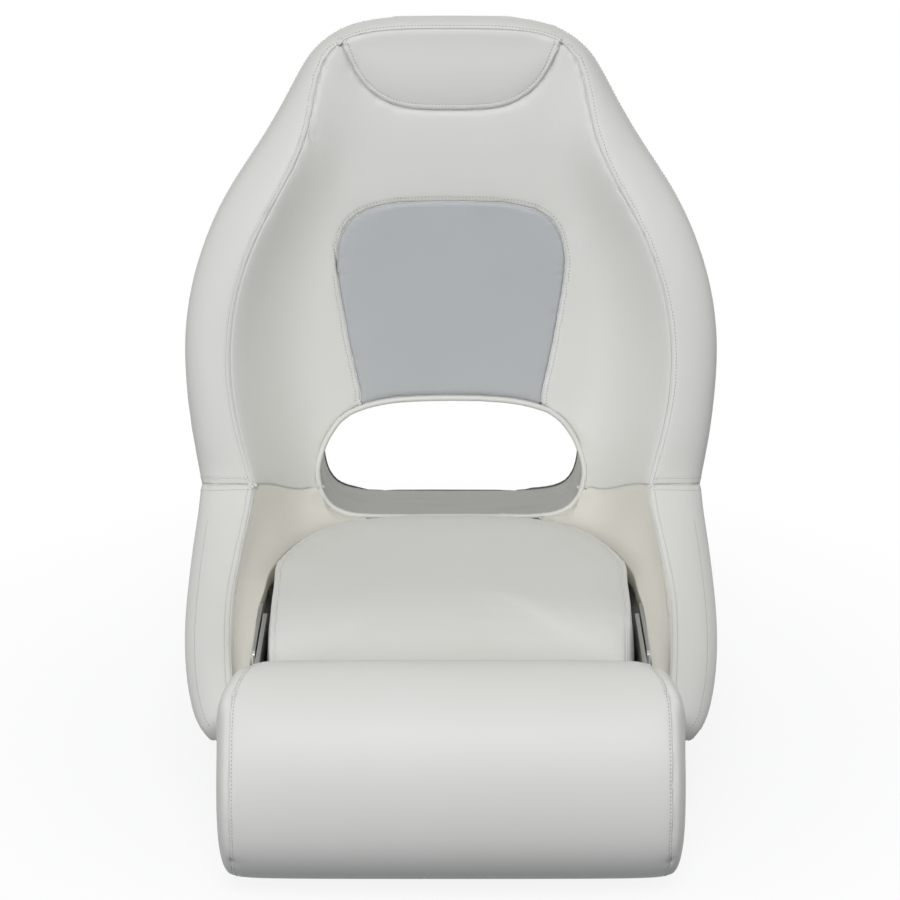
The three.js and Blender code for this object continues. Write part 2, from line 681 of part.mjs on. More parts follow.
function hipRing(place) {
  const high = hipUpper(place);
  const low = hipEdgeAt(place);
  const index = hipIndex(place);
  const reach = padDepth * tableAt(padDepthShares, index) * hipDepthShare;
  const sideward = THREE.MathUtils.clamp(place - hipWaistFrom, 0, 1);
  const sag = vector(sideward, 0, -1).normalize().multiplyScalar(hipSag * sideward);
  const ring = [];
  for (let i = 0; i <= headrestSteps; i += 1) {
    const share = i / headrestSteps;
    ring.push(high.clone().lerp(low, share).addScaledVector(sag, Math.sin(Math.PI * share)));
  }
  const rearward = THREE.MathUtils.clamp(1 - (place - hipWaistTo), 0, 1);
  ring.push(low.clone().add(vector(0, reach * rearward, -reach / 2)));
  ring.push(high.clone().addScaledVector(spokeAt(index), reach));
  return ring;
}

function hipPad() {
  const rear = steps(0, hipWaistFrom, 1);
  const waist = steps(hipWaistFrom, hipWaistTo, (hipWaistTo - hipWaistFrom) / acrossSteps).slice(1);
  const front = steps(hipWaistTo, hipLast, indexStep).slice(1);
  const rings = [...rear, ...waist, ...front].map(hipRing);
  return fitted(loft([...rings.slice(1).reverse().map(flipX), ...rings]));
}

// Vinyl sleeve that lines the opening, standing a little proud of the pads and of the cover
const trimProud = 1.5;

function openingTrim() {
  const inner = openingOutline(0);
  const middle = openingOutline(trimThickness / 2);
  const outer = openingOutline(trimThickness);
  const rings = inner.map(([x, z], i) => {
    const front = backFaceY(x, Math.max(z, backFootZ)) - trimProud;
    const rear = rearByHeight(z).y + trimProud;
    const soft = trimThickness / 2;
    return [
      vector(x, front + soft, z), vector(middle[i][0], front, middle[i][1]),
      vector(outer[i][0], front + soft, outer[i][1]), vector(outer[i][0], rear - soft, outer[i][1]),
      vector(middle[i][0], rear, middle[i][1]), vector(x, rear - soft, z),
    ];
  });
  return loft(rings, { loop: true });
}

// Seat cushion: crowned top, drawn-in sides and a rounded front that clears the bolster's swing

const cushionOutlineShares = [
  [0, 1], [0.26, 0.998], [0.474, 0.976], [0.669, 0.932], [0.807, 0.855], [0.891, 0.774], [0.95, 0.70],
  [0.992, 0.62], [0.985, 0.575], [0.979, 0.53], [cushionNarrowShare, 0.36], [0.964, 0.17],
  [0.945, 0.03], [0.91, 0], [0.55, 0], [0, 0],
];
const cushionLevelShares = [
  [0.96, 0], [0.99, 0.2], [1, 0.55], [1, 0.84], [0.985, 0.93], [0.95, 0.965], [0.86, 0.985],
  [0.65, 0.995], [0.35, 1], [0.08, 1],
];
const cushionCentreShare = 0.5;
const cushionGuide = guide(cushionOutlineShares.map(([x, y]) => vector(
  x * cushionHalfWidth, mix(cushionFrontY, cushionRearY, y), 0)));
const cushionHalfLoop = steps(0, cushionOutlineShares.length - 1, indexStep).map(cushionGuide);
const cushionLoop = [
  ...cushionHalfLoop,
  ...cushionHalfLoop.slice(1, -1).reverse().map((point) => vector(-point.x, point.y, 0)),
];

const cushionSwingGap = 1;

function cushionCrownZ(y) {
  const frontRadius = swingRadius - cushionSwingGap;
  if (y < pivotY) {
    const reach = Math.min(pivotY - y, frontRadius);
    return pivotZ + Math.sqrt(frontRadius ** 2 - reach ** 2) - (pivotZ + frontRadius - cushionTopZ);
  }
  const back = (y - pivotY) / (cushionRearY - pivotY);
  return cushionTopZ - (cushionTopZ - cushionRearTopZ) * back ** 2;
}

function seatCushion() {
  const centreY = mix(cushionFrontY, cushionRearY, cushionCentreShare);
  const rings = cushionLevelShares.map(([reach, rise]) => cushionLoop.map((point) => {
    const x = point.x * reach;
    const y = centreY + (point.y - centreY) * reach;
    return vector(x, y, mix(cushionBaseZ, cushionCrownZ(y), rise));
  }));
  return loft(rings);
}

const boardInset = 9;
const screwGrip = 8;

function cushionBoard() {
  const scale = cushionLevelShares[0][0] * (1 - boardInset / cushionHalfWidth);
  const centreY = mix(cushionFrontY, cushionRearY, cushionCentreShare);
  const outline = cushionLoop.map((point) => [point.x * scale, centreY + (point.y - centreY) * scale]);
  let board = prism('z', outline, cushionBoardBaseZ, cushionBoardBaseZ + cushionBoardThickness);
  for (const [x, y] of postPlaces) {
    const span = [cushionBoardBaseZ - boreOverrun, cushionBoardBaseZ + screwGrip + boreOverrun];
    board = board.subtract(rod('z', screwRadius + boltGap, ...span, vector(x, y, 0), 12));
  }
  return board;
}

// Hinge pieces of the right side, seen from the side as [y, z]

const bracketInnerX = armInnerX + armThickness + washerThickness + 2 * fitGap;
const washerInnerX = armInnerX + armThickness + fitGap;
const stopSlotGap = 0.5;
const stopSlotRadius = stopPinRadius + stopSlotGap;
const slotEndSlack = 0.6;

function polar(radius, degrees) {
  const angle = THREE.MathUtils.degToRad(degrees);
  return [pivotY - radius * Math.cos(angle), pivotZ + radius * Math.sin(angle)];
}

// Curved slot round the pivot, from one angle to another
function arcSlot(radius, halfSlot, fromDegrees, toDegrees, count = 14) {
  const outline = [];
  const sweep = steps(fromDegrees, toDegrees, (toDegrees - fromDegrees) / count);
  outline.push(...sweep.map((degrees) => polar(radius + halfSlot, degrees)));
  const capSteps = 6;
  const cap = (degrees, turn) => {
    const [cy, cz] = polar(radius, degrees);
    for (let i = 1; i < capSteps; i += 1) {
      const angle = THREE.MathUtils.degToRad(degrees + turn + (180 * i) / capSteps);
      outline.push([cy - halfSlot * Math.cos(angle), cz + halfSlot * Math.sin(angle)]);
    }
  };
  cap(toDegrees, 0);
  outline.push(...sweep.reverse().map((degrees) => polar(radius - halfSlot, degrees)));
  cap(fromDegrees, 180);
  return outline;
}

// A hole along X through a plate that starts at one place and has a thickness
function plateHole(radius, from, thickness, [y, z], segments) {
  return rod('x', radius, from - boreOverrun, from + thickness + boreOverrun, vector(0, y, z), segments);
}

function hingeBracket() {
  const from = bracketInnerX;
  const to = bracketInnerX + bracketThickness;
  let plate = prism('x', bracketShares.map(hingePlace), from, to);
  plate = plate.subtract(plateHole(pivotBoltRadius + boltGap, from, bracketThickness, [pivotY, pivotZ]));
  const slotEnd = stopPinAngle + flipAngle + slotEndSlack;
  const slot = arcSlot(stopPinReach, stopSlotRadius, stopPinAngle - slotEndSlack, slotEnd);
  plate = plate.subtract(prism('x', slot, from - boreOverrun, to + boreOverrun));
  for (const place of bracketBoltPlaces) {
    plate = plate.subtract(plateHole(bracketBoltRadius + boltGap, from, bracketThickness, place, 12));
  }
  return plate;
}

const flangeFaceY = bolsterRearY - fitGap;
const flangeThickness = bolsterBoardRecess - 2 * fitGap;
const flangeWidth = 34;
const armTopShare = 0.773;
const flangeTopShare = 0.718;
const flangeBottomShare = -0.118;
const armShares = [
  [0.345, armTopShare], [0.418, 0.718], [0.418, 0.591], [0.273, 0.336], [0.218, 0.136], [0.218, -0.1],
  [0.127, -0.191], [-0.036, -0.227], [-0.236, -0.191], [-0.564, -0.136],
];
const armScrewX = armInnerX - flangeWidth / 2;
const armScrewShares = [0.018, 0.3, 0.582];
const hingeZ = (share) => pivotZ + share * swingRadius;
const armScrewPlaces = armScrewShares.map((share) => [armScrewX, hingeZ(share)]);

// A hole or a screw that runs along Y, made upright and laid down towards the front
const laidForward = (solid, [x, z], y) => solid.rotate([90, 0, 0]).translate([x, y, z]);

function bolsterArm() {
  const from = armInnerX;
  const to = armInnerX + armThickness;
  const front = flangeFaceY - flangeThickness;
  const outline = [
    [front, hingeZ(flangeTopShare)], [front + flangeThickness, hingeZ(armTopShare)],
    ...armShares.map(hingePlace), [front, hingeZ(flangeBottomShare)],
  ];
  const flange = block(
    to - flangeWidth, to, front, flangeFaceY, hingeZ(flangeBottomShare), hingeZ(flangeTopShare));
  let arm = prism('x', outline, from, to).add(flange);
  arm = arm.subtract(plateHole(pivotBoltRadius + boltGap, from, armThickness, [pivotY, pivotZ]));
  const pinPlace = polar(stopPinReach, stopPinAngle);
  arm = arm.subtract(plateHole(stopPinRadius + fitGap, from, armThickness, pinPlace));
  for (const place of armScrewPlaces) {
    const drill = rod('z', screwRadius + boltGap, 0, cutOverrun, vector(0, 0, 0), 12);
    arm = arm.subtract(laidForward(drill, place, flangeFaceY + cutOverrun / 2));
  }
  return arm;
}

const pivotHeadRadius = 9;
const pivotHeadThickness = 2.2;
const pivotNutRadius = 8.5;
const pivotNutHeight = 5;
const threadBeyondNut = 2;
const washerRadius = 14;
const pinHeadLip = 1.5;
const pinHeadThickness = 1;

// Bolt, pin or screw: a head that narrows to its far side, then a plain shank, along X or Z
function headed(axis, { headRadius, rimRadius, shankRadius }, from, headThickness, length, centre, segments) {
  const neck = from + headThickness;
  const profile = [[0, from], [rimRadius, from], [headRadius, neck], [shankRadius, neck],
    [shankRadius, neck + length], [0, neck + length]];
  return turned(axis, profile, centre, segments);
}

function pivotBolt() {
  const from = armInnerX - fitGap - pivotHeadThickness;
  const length = coreInnerX + fitGap + pivotNutHeight + threadBeyondNut - from - pivotHeadThickness;
  const radii = { headRadius: pivotHeadRadius, rimRadius: pivotHeadRadius, shankRadius: pivotBoltRadius };
  return headed('x', radii, from, pivotHeadThickness, length, vector(0, pivotY, pivotZ));
}

function pivotNut() {
  const corners = steps(0, 300, 60).map((degrees) => {
    const angle = THREE.MathUtils.degToRad(degrees);
    return [pivotY + pivotNutRadius * Math.cos(angle), pivotZ + pivotNutRadius * Math.sin(angle)];
  });
  const from = bracketInnerX + bracketThickness + fitGap;
  const bore = plateHole(pivotBoltRadius + fitGap, from, pivotNutHeight, [pivotY, pivotZ]);
  return prism('x', corners, from, from + pivotNutHeight).subtract(bore);
}

const pivotWasher = () => turned('x', [
  [pivotBoltRadius + fitGap, 0], [washerRadius, 0], [washerRadius, washerThickness],
  [pivotBoltRadius + fitGap, washerThickness], [pivotBoltRadius + fitGap, 0],
], vector(washerInnerX, pivotY, pivotZ));

function stopPin() {
  const [y, z] = polar(stopPinReach, stopPinAngle);
  const from = armInnerX - fitGap - pinHeadThickness;
  const length = bracketInnerX + bracketThickness - from - pinHeadThickness;
  const rim = stopPinRadius + pinHeadLip;
  const radii = { headRadius: rim, rimRadius: rim, shankRadius: stopPinRadius };
  return headed('x', radii, from, pinHeadThickness, length, vector(0, y, z));
}

const bracketBolt = ([y, z]) => headed(
  'x',
  {
    headRadius: bracketBoltHeadRadius,
    rimRadius: bracketBoltHeadRadius - bracketBoltHeadThickness,
    shankRadius: bracketBoltRadius,
  },
  bracketInnerX - fitGap - bracketBoltHeadThickness,
  bracketBoltHeadThickness,
  bracketThickness + bracketBoltDepth - 2 * boreOverrun,
  vector(0, y, z),
  12,
);

// Bolster: a padded D section, flat at the rear, with puffed ends and a recessed board

const bolsterFrontY = bolsterRearY - bolsterDepth;
const noseZ = bolsterBottomZ + bolsterNoseRadius;
const edgeRadius = 14;
const noseSteps = 7;
const frontSteps = 8;

// Outline of the D section as [y, z], from the lower rear corner round the front to the upper rear
function bolsterOutline(inset) {
  const eased = edgeRadius / 3;
  const outline = [
    [bolsterRearY, bolsterBottomZ + edgeRadius],
    [bolsterRearY - eased, bolsterBottomZ + eased],
    [bolsterRearY - edgeRadius, bolsterBottomZ],
  ];
  for (const share of steps(0, 1, 1 / noseSteps)) {
    const angle = (Math.PI / 2) * share;
    const forward = bolsterNoseRadius * (1 - Math.sin(angle));
    outline.push([bolsterFrontY + forward, noseZ - bolsterNoseRadius * Math.cos(angle)]);
  }
  const topWidth = bolsterDepth - edgeRadius;
  for (const share of steps(0, 1, 1 / frontSteps).slice(1)) {
    const angle = (Math.PI / 2) * share;
    outline.push([
      bolsterFrontY + topWidth * (1 - Math.cos(angle)), noseZ + (bolsterTopZ - noseZ) * Math.sin(angle)]);
  }
  outline.push([bolsterRearY - eased, bolsterTopZ - eased], [bolsterRearY, bolsterTopZ - edgeRadius]);
  const centreY = bolsterRearY - bolsterDepth / 2;
  const centreZ = (bolsterBottomZ + bolsterTopZ) / 2;
  return outline.map(([y, z]) => [
    y + Math.sign(centreY - y) * Math.min(inset, Math.abs(centreY - y)),
    z + (centreZ - z) * (inset / ((bolsterTopZ - bolsterBottomZ) / 2)),
  ]);
}

const bolsterTaper = 20;
const taperDepth = 70;
const taperHeight = 34;

function bolsterSeamX(y, z) {
  const rearness = THREE.MathUtils.smoothstep(y, bolsterRearY - taperDepth, bolsterRearY);
  const topness = THREE.MathUtils.smoothstep(z, bolsterTopZ - taperHeight, bolsterTopZ);
  return bolsterHalfWidth - bolsterTaper * rearness * topness;
}

const bolsterRing = (share, inset, extra) => bolsterOutline(inset).map(([y, z]) => vector(
  share * bolsterSeamX(y, z) + Math.sign(share) * extra, y, z));

const pocketHalf = armInnerX + armThickness + fitGap;
const pocketMargin = 20;
const pocketBottomZ = bolsterBottomZ + pocketMargin;
const pocketTopZ = bolsterTopZ - pocketMargin;
const boardEdgeGap = 1;
const boardRearY = bolsterRearY - bolsterBoardRecess;

// Places along the wrap and on its puffed end, with how far the section draws in, as shares
const wrapShares = [[-1, 0.02], [-0.95, 0.005], [-0.8, 0], [0, 0], [0.8, 0], [0.95, 0.005], [1, 0.02]];
const endShares = [[0, 0.02], [0.45, 0.027], [0.8, 0.094], [0.95, 0.203], [1, 0.344]];

function bolsterPad() {
  const body = loft(wrapShares.map(([share, drawn]) => bolsterRing(share, drawn * bolsterDepth, 0)));
  const pocketFront = boardRearY - bolsterBoardThickness - fitGap;
  const pocketRear = bolsterRearY + cutOverrun;
  return body.subtract(block(-pocketHalf, pocketHalf, pocketFront, pocketRear, pocketBottomZ, pocketTopZ));
}

function bolsterEnd() {
  return loft(endShares.map(([share, drawn]) => bolsterRing(
    1, drawn * bolsterDepth, mix(fitGap, bolsterEndBulge, share))));
}

const armScrewGrip = bolsterBoardThickness - 2 * screwHeadThickness;

function bolsterBoard() {
  const half = pocketHalf - boardEdgeGap;
  let board = block(-half, half, boardRearY - bolsterBoardThickness, boardRearY,
    pocketBottomZ + boardEdgeGap, pocketTopZ - boardEdgeGap);
  for (const side of [-1, 1]) {
    for (const [x, z] of armScrewPlaces) {
      const drill = rod('z', screwRadius + boltGap, 0, armScrewGrip + 2 * boreOverrun, vector(0, 0, 0), 12);
      board = board.subtract(laidForward(drill, [side * x, z], boardRearY + boreOverrun));
    }
  }
  return board;
}

function armScrew(place) {
  const rimRadius = screwHeadRadius - fitGap;
  const radii = { headRadius: screwHeadRadius, rimRadius, shankRadius: screwRadius };
  const length = flangeFaceY - boardRearY + armScrewGrip;
  const screw = headed('z', radii, 0, screwHeadThickness, length, vector(0, 0, 0), 12);
  return laidForward(screw, place, flangeFaceY + fitGap + screwHeadThickness);
}

function cushionScrew([x, y]) {
  const seat = postTopZ - postCap - fitGap;
  const length = cushionBoardBaseZ + screwGrip - seat;
  const radii = { headRadius: screwHeadRadius, rimRadius: screwHeadRadius, shankRadius: screwRadius };
  return headed('z', radii, seat - screwHeadThickness, screwHeadThickness, length, vector(x, y, 0), 12);
}

function baseInsert([x, y]) {
  const flangeZ = shellWall + fitGap;
  const topZ = flangeZ + insertFlangeThickness;
  return turned('z', [[insertBore, insertRecess], [insertRadius, insertRecess], [insertRadius, flangeZ],
    [insertFlangeRadius, flangeZ], [insertFlangeRadius, topZ], [insertBore, topZ],
    [insertBore, insertRecess]], vector(x, y, 0), 16);
}

// Materials and the assembly

const vinyl = () => new THREE.MeshStandardMaterial({ color: '#d8d8d5', roughness: 0.55, metalness: 0 });
const greyVinyl = () => new THREE.MeshStandardMaterial({ color: '#aab0b0', roughness: 0.55, metalness: 0 });
const plastic = () => new THREE.MeshStandardMaterial({ color: '#c9c9c6', roughness: 0.6, metalness: 0 });
const steel = () => new THREE.MeshStandardMaterial({ color: '#9a9a97', roughness: 0.35, metalness: 0.9 });
const nylon = () => new THREE.MeshStandardMaterial({ color: '#2b2b2a', roughness: 0.6, metalness: 0 });
const plywood = () => new THREE.MeshStandardMaterial({ color: '#b08d5e', roughness: 0.7, metalness: 0 });
const brass = () => new THREE.MeshStandardMaterial({ color: '#b5a05a', roughness: 0.4, metalness: 0.9 });

const seat = new THREE.Group();

function addPiece(name, solid, material) {
  const mesh = solid.getMesh();
  const places = new Float32Array((mesh.vertProperties.length / mesh.numProp) * 3);
  for (let i = 0; i < places.length / 3; i += 1) {
    places.set(mesh.vertProperties.slice(i * mesh.numProp, i * mesh.numProp + 3), i * 3);
  }
  const geometry = new THREE.BufferGeometry();
  geometry.setAttribute('position', new THREE.BufferAttribute(places, 3));
  geometry.setIndex([...mesh.triVerts]);
  geometry.computeVertexNormals();
  const piece = new THREE.Mesh(geometry, material());
  piece.name = name;
  seat.add(piece);
}

function addPair(name, solid, material) {
  addPiece(`right_${name}`, solid, material);
  addPiece(`left_${name}`, mirrored(solid), material);
}

const wide = 2 * seatWidth;
addPiece('seat_shell', seatShell(), plastic);
addPiece('rear_cover', coverPart(-wide, wide, coverSplitY + fitGap / 2, wide), vinyl);
addPiece('right_side_cover', coverPart(0, wide, -wide, coverSplitY - fitGap / 2), vinyl);
addPiece('left_side_cover', coverPart(-wide, 0, -wide, coverSplitY - fitGap / 2), vinyl);
addPiece('wing_pad', wingPad(), vinyl);
addPiece('right_side_pad', sidePad(1), vinyl);
addPiece('left_side_pad', sidePad(-1), vinyl);
addPiece('back_pad', backPad(), vinyl);
addPiece('headrest_pad', headrestPad(), vinyl);
addPiece('back_insert', backInsert(), greyVinyl);
addPiece('hip_pad', hipPad(), vinyl);
addPiece('opening_trim', openingTrim(), vinyl);
addPiece('seat_cushion', seatCushion(), vinyl);
addPiece('cushion_board', cushionBoard(), plywood);
postPlaces.forEach((place, i) => addPiece(`cushion_screw_${i + 1}`, cushionScrew(place), steel));
mountPlaces.forEach((place, i) => addPiece(`base_insert_${i + 1}`, baseInsert(place), brass));
addPair('hinge_bracket', hingeBracket(), steel);
bracketBoltPlaces.forEach((place, i) => addPair(`bracket_bolt_${i + 1}`, bracketBolt(place), steel));
addPair('bolster_arm', bolsterArm(), steel);
addPair('pivot_bolt', pivotBolt(), steel);
addPair('pivot_nut', pivotNut(), steel);
addPair('pivot_washer', pivotWasher(), nylon);
addPair('stop_pin', stopPin(), steel);
addPiece('bolster_pad', bolsterPad(), vinyl);
addPair('bolster_end', bolsterEnd(), vinyl);
addPiece('bolster_board', bolsterBoard(), plywood);
armScrewPlaces.forEach((place, i) => addPair(`arm_screw_${i + 1}`, armScrew(place), steel));

export default seat;
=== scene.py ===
import json
import math
from itertools import combinations

import bmesh
import bpy
from mathutils import Matrix, Vector, noise
from mathutils.bvhtree import BVHTree
from mathutils.geometry import convex_hull_2d
from mathutils.kdtree import KDTree

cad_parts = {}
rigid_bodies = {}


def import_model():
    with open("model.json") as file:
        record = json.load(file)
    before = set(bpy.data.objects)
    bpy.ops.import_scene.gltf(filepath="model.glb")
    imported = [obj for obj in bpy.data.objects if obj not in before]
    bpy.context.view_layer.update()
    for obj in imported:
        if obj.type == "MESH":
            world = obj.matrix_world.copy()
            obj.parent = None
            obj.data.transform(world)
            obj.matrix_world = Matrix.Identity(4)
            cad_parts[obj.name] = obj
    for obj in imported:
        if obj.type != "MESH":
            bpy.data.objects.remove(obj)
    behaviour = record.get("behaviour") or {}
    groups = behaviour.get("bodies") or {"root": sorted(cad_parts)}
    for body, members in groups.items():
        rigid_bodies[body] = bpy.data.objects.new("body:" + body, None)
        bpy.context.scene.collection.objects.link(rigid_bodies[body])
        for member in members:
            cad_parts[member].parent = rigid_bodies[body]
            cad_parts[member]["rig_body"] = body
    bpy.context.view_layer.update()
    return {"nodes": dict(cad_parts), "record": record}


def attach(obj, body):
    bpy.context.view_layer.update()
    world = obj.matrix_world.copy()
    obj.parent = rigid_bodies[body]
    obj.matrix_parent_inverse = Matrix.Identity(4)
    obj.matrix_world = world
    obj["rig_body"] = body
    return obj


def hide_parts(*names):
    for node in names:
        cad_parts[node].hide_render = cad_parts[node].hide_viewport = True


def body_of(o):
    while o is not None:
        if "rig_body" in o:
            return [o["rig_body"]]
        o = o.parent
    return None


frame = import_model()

mm = 0.001
tiny = 1e-9  # divided by in place of a length of nothing
nodes = frame["nodes"]
print("frame loaded")

# Colours and node materials


# The linear colour of an sRGB hex text
def linear(hexText):
    values = [int(hexText[i:i + 2], 16) / 255 for i in (1, 3, 5)]
    return tuple(v / 12.92 if v <= 0.04045 else ((v + 0.055) / 1.055) ** 2.4 for v in values) + (1,)


def addNode(tree, kind, settings=None, links=None):
    node = tree.nodes.new(kind)
    for key, value in (settings or {}).items():
        if isinstance(key, str) and hasattr(node, key):
            setattr(node, key, value)
        else:
            node.inputs[key].default_value = value
    for key, source in (links or {}).items():
        tree.links.new(source, node.inputs[key])
    return node


def newMaterial(name):
    material = bpy.data.materials.new(name)
    material.use_nodes = True
    material.node_tree.nodes.clear()
    return material, material.node_tree


def finishMaterial(tree, shader):
    addNode(tree, "ShaderNodeOutputMaterial", links={"Surface": shader.outputs[0]})


# Marine vinyl: calendered PVC on a knitted backing, a soft satin with a fine pressed leather grain.
# Beside a seam it rolls down into the seam, dips along the stitches and puckers a little.
vinyl = {
    "white": "#dddcd5",
    "whiteShade": "#d8d7ce",
    "grey": "#b6b9b8",
    "greyShade": "#afb2b0",
    "warm": "#dbd8cb",
    "warmShade": "#d6d3c6",
    # the sleeve's two greys are darker than the pads' white: painted shade for the opening
    "sleeve": "#b4b3ab",
    "sleeveShade": "#a9a8a0",
    "ior": 1.5,
    "roughness": 0.48,
    "driftSize": 120 * mm,  # the tone drifts slowly over a hide
    "driftDetail": 2,
    "grainSize": 1.6 * mm,  # real grain is about 0.8 mm, drawn coarser so that it shows
    "puckerSize": 8 * mm,  # gathers beside a seam, about two stitches long
    "puckerDetail": 1,
    # From here on in millimetres, as the pieces' seam distances are
    "grainHeight": 0.02,
    "rollWidth": 2.6,
    "rollHeight": 0.3,
    "stitchWidth": 1.6,
    "stitchDip": 0.22,
    "puckerReach": 16,
    "puckerHeight": 0.35,
}


def vinylMaterial(name, colour, shade):
    material, tree = newMaterial(name)
    place = addNode(tree, "ShaderNodeTexCoord").outputs["Object"]
    drift = addNode(
        tree, "ShaderNodeTexNoise", {"Scale": 1 / vinyl["driftSize"], "Detail": vinyl["driftDetail"]},
        {"Vector": place})
    tint = addNode(
        tree, "ShaderNodeMix", {"data_type": "RGBA", 6: linear(colour), 7: linear(shade)},
        {0: drift.outputs["Fac"]})
    cells = addNode(tree, "ShaderNodeTexVoronoi", {"Scale": 1 / vinyl["grainSize"]}, {"Vector": place})
    grain = addNode(
        tree, "ShaderNodeMath", {"operation": "MULTIPLY", 1: vinyl["grainHeight"]},
        {0: cells.outputs["Distance"]})
    toSeam = addNode(tree, "ShaderNodeAttribute", {"attribute_name": "seamDistance"})
    roll = addNode(
        tree, "ShaderNodeMapRange",
        {"interpolation_type": "SMOOTHSTEP", "From Max": vinyl["rollWidth"],
         "To Max": vinyl["rollHeight"]},
        {"Value": toSeam.outputs["Fac"]})
    toRow = addNode(tree, "ShaderNodeAttribute", {"attribute_name": "stitchOffset"})
    beside = addNode(
        tree, "ShaderNodeMath", {"operation": "SUBTRACT"},
        {0: toSeam.outputs["Fac"], 1: toRow.outputs["Fac"]})
    toStitch = addNode(tree, "ShaderNodeMath", {"operation": "ABSOLUTE"}, {0: beside.outputs[0]})
    dip = addNode(
        tree, "ShaderNodeMapRange",
        {"interpolation_type": "SMOOTHSTEP", "From Max": vinyl["stitchWidth"],
         "To Max": vinyl["stitchDip"]},
        {"Value": toStitch.outputs[0]})
    closeness = addNode(
        tree, "ShaderNodeMapRange",
        {"interpolation_type": "SMOOTHSTEP", "From Max": vinyl["puckerReach"],
         "To Min": vinyl["puckerHeight"], "To Max": 0},
        {"Value": toSeam.outputs["Fac"]})
    folds = addNode(
        tree, "ShaderNodeTexNoise", {"Scale": 1 / vinyl["puckerSize"], "Detail": vinyl["puckerDetail"]},
        {"Vector": place})
    pucker = addNode(
        tree, "ShaderNodeMath", {"operation": "MULTIPLY"},
        {0: closeness.outputs[0], 1: folds.outputs["Fac"]})
    height = grain
    for part in (roll, dip, pucker):
        height = addNode(
            tree, "ShaderNodeMath", {"operation": "ADD"}, {0: height.outputs[0], 1: part.outputs[0]})
    bump = addNode(tree, "ShaderNodeBump", {"Distance": mm}, {"Height": height.outputs[0]})
    shader = addNode(
        tree, "ShaderNodeBsdfPrincipled", {"IOR": vinyl["ior"], "Roughness": vinyl["roughness"]},
        {"Base Color": tint.outputs[2], "Normal": bump.outputs[0]})
    finishMaterial(tree, shader)
    return material


# What a grained finish has unless it says otherwise
graining = {"bump": 0.08, "depth": 0.2 * mm, "detail": 4, "metallic": 0, "stretch": (1, 1, 1)}


# Fine grain over one or two colours: stretch draws it out along an axis, as brushing and wood grain do
def grainedMaterial(name, finish):
    finish = {"second": finish["colour"], **graining, **finish}
    material, tree = newMaterial(name)
    place = addNode(tree, "ShaderNodeTexCoord").outputs["Object"]
    turned = addNode(tree, "ShaderNodeMapping", {"Scale": finish["stretch"]}, {"Vector": place})
    texture = addNode(
        tree, "ShaderNodeTexNoise", {"Scale": 1 / finish["grain"], "Detail": finish["detail"]},
        {"Vector": turned.outputs[0]})
    bump = addNode(
        tree, "ShaderNodeBump", {"Strength": finish["bump"], "Distance": finish["depth"]},
        {"Height": texture.outputs["Fac"]})
    tint = addNode(
        tree, "ShaderNodeMix",
        {"data_type": "RGBA", 6: linear(finish["colour"]), 7: linear(finish["second"])},
        {0: texture.outputs["Fac"]})
    shader = addNode(
        tree, "ShaderNodeBsdfPrincipled",
        {"Roughness": finish["roughness"], "Metallic": finish["metallic"]},
        {"Base Color": tint.outputs[2], "Normal": bump.outputs[0]})
    finishMaterial(tree, shader)
    return material


whiteVinyl = vinylMaterial("whiteMarineVinyl", vinyl["white"], vinyl["whiteShade"])
greyVinyl = vinylMaterial("greyMarineVinyl", vinyl["grey"], vinyl["greyShade"])
# The seat's inner cheeks are drawn a creamier, slightly darker white than the pads
warmVinyl = vinylMaterial("creamMarineVinyl", vinyl["warm"], vinyl["warmShade"])
# The sleeve through the back is drawn a darker grey than the pads: painted shade, for the shadow that falls
# inside the opening
sleeveVinylPaintedShade = vinylMaterial("sleeveMarineVinyl", vinyl["sleeve"], vinyl["sleeveShade"])
# Bonded polyester thread: a soft sheen, with its twist drawn as a fine grain. Its grey is the thread's own
# colour darkened with painted shade for the stitch holes
threadAndHoleShadeMaterial = grainedMaterial(
    "bondedPolyesterThread",
    {"colour": "#a6a6a1", "second": "#959590", "roughness": 0.55, "grain": 0.3 * mm, "bump": 0.3})
# The same vinyl wrapped round a cord: it lies in the seams and round the cushion
weltMaterial = grainedMaterial(
    "vinylWelt", {"colour": "#dededa", "second": "#d4d4cf", "roughness": 0.5, "grain": 0.8 * mm})
# Charcoal round a cord: painted shadow, a dark line along the sleeve's far rim where the gap there lies in
# shade
shadowLineCordMaterial = grainedMaterial(
    "darkVinylWelt", {"colour": "#4b4b46", "second": "#3f3f3b", "roughness": 0.5, "grain": 0.8 * mm})
# Rotationally moulded polyethylene: matt, with the slight orange peel of the mould
shellMaterial = grainedMaterial(
    "rotomouldedPolyethylene",
    {"colour": "#dadad8", "second": "#d2d2cf", "roughness": 0.5, "grain": 1.2 * mm, "bump": 0.15})
# Stainless steel, brushed along the plates, which draws its highlights out
steelMaterial = grainedMaterial(
    "brushedStainlessSteel",
    {"colour": "#b2b2b0", "second": "#9a9a98", "roughness": 0.32, "metallic": 1, "grain": 0.5 * mm,
     "stretch": (1, 0.06, 1)})
# Moulded nylon: black and slightly waxy
nylonMaterial = grainedMaterial(
    "mouldedNylon", {"colour": "#2a2a2a", "roughness": 0.5, "grain": 0.5 * mm})
# Birch plywood, sanded and unvarnished: long pale grain
plywoodMaterial = grainedMaterial(
    "birchPlywood",
    {"colour": "#c4a173", "second": "#ab8554", "roughness": 0.6, "grain": 1.5 * mm,
     "stretch": (0.08, 1, 1)})
# Turned brass: smooth, with fine tool rings
brassMaterial = grainedMaterial(
    "turnedBrass", {"colour": "#b59d5c", "roughness": 0.35, "metallic": 1, "grain": 0.4 * mm})
print("materials made")

# Copies of the CAD solids, smoothed as sewn pads

soft = {
    "weld": 0.02 * mm,  # corners closer than this are one
    "flatAngle": 30,  # triangles that meet flatter than this are joined
    "sharpAngle": 42,  # edges past this angle are sewn edges
    "crease": 0.75,
    "cuts": 6,  # in an edge that is too long
    "smoothRounds": 14,
    "smoothShare": 0.5,
}


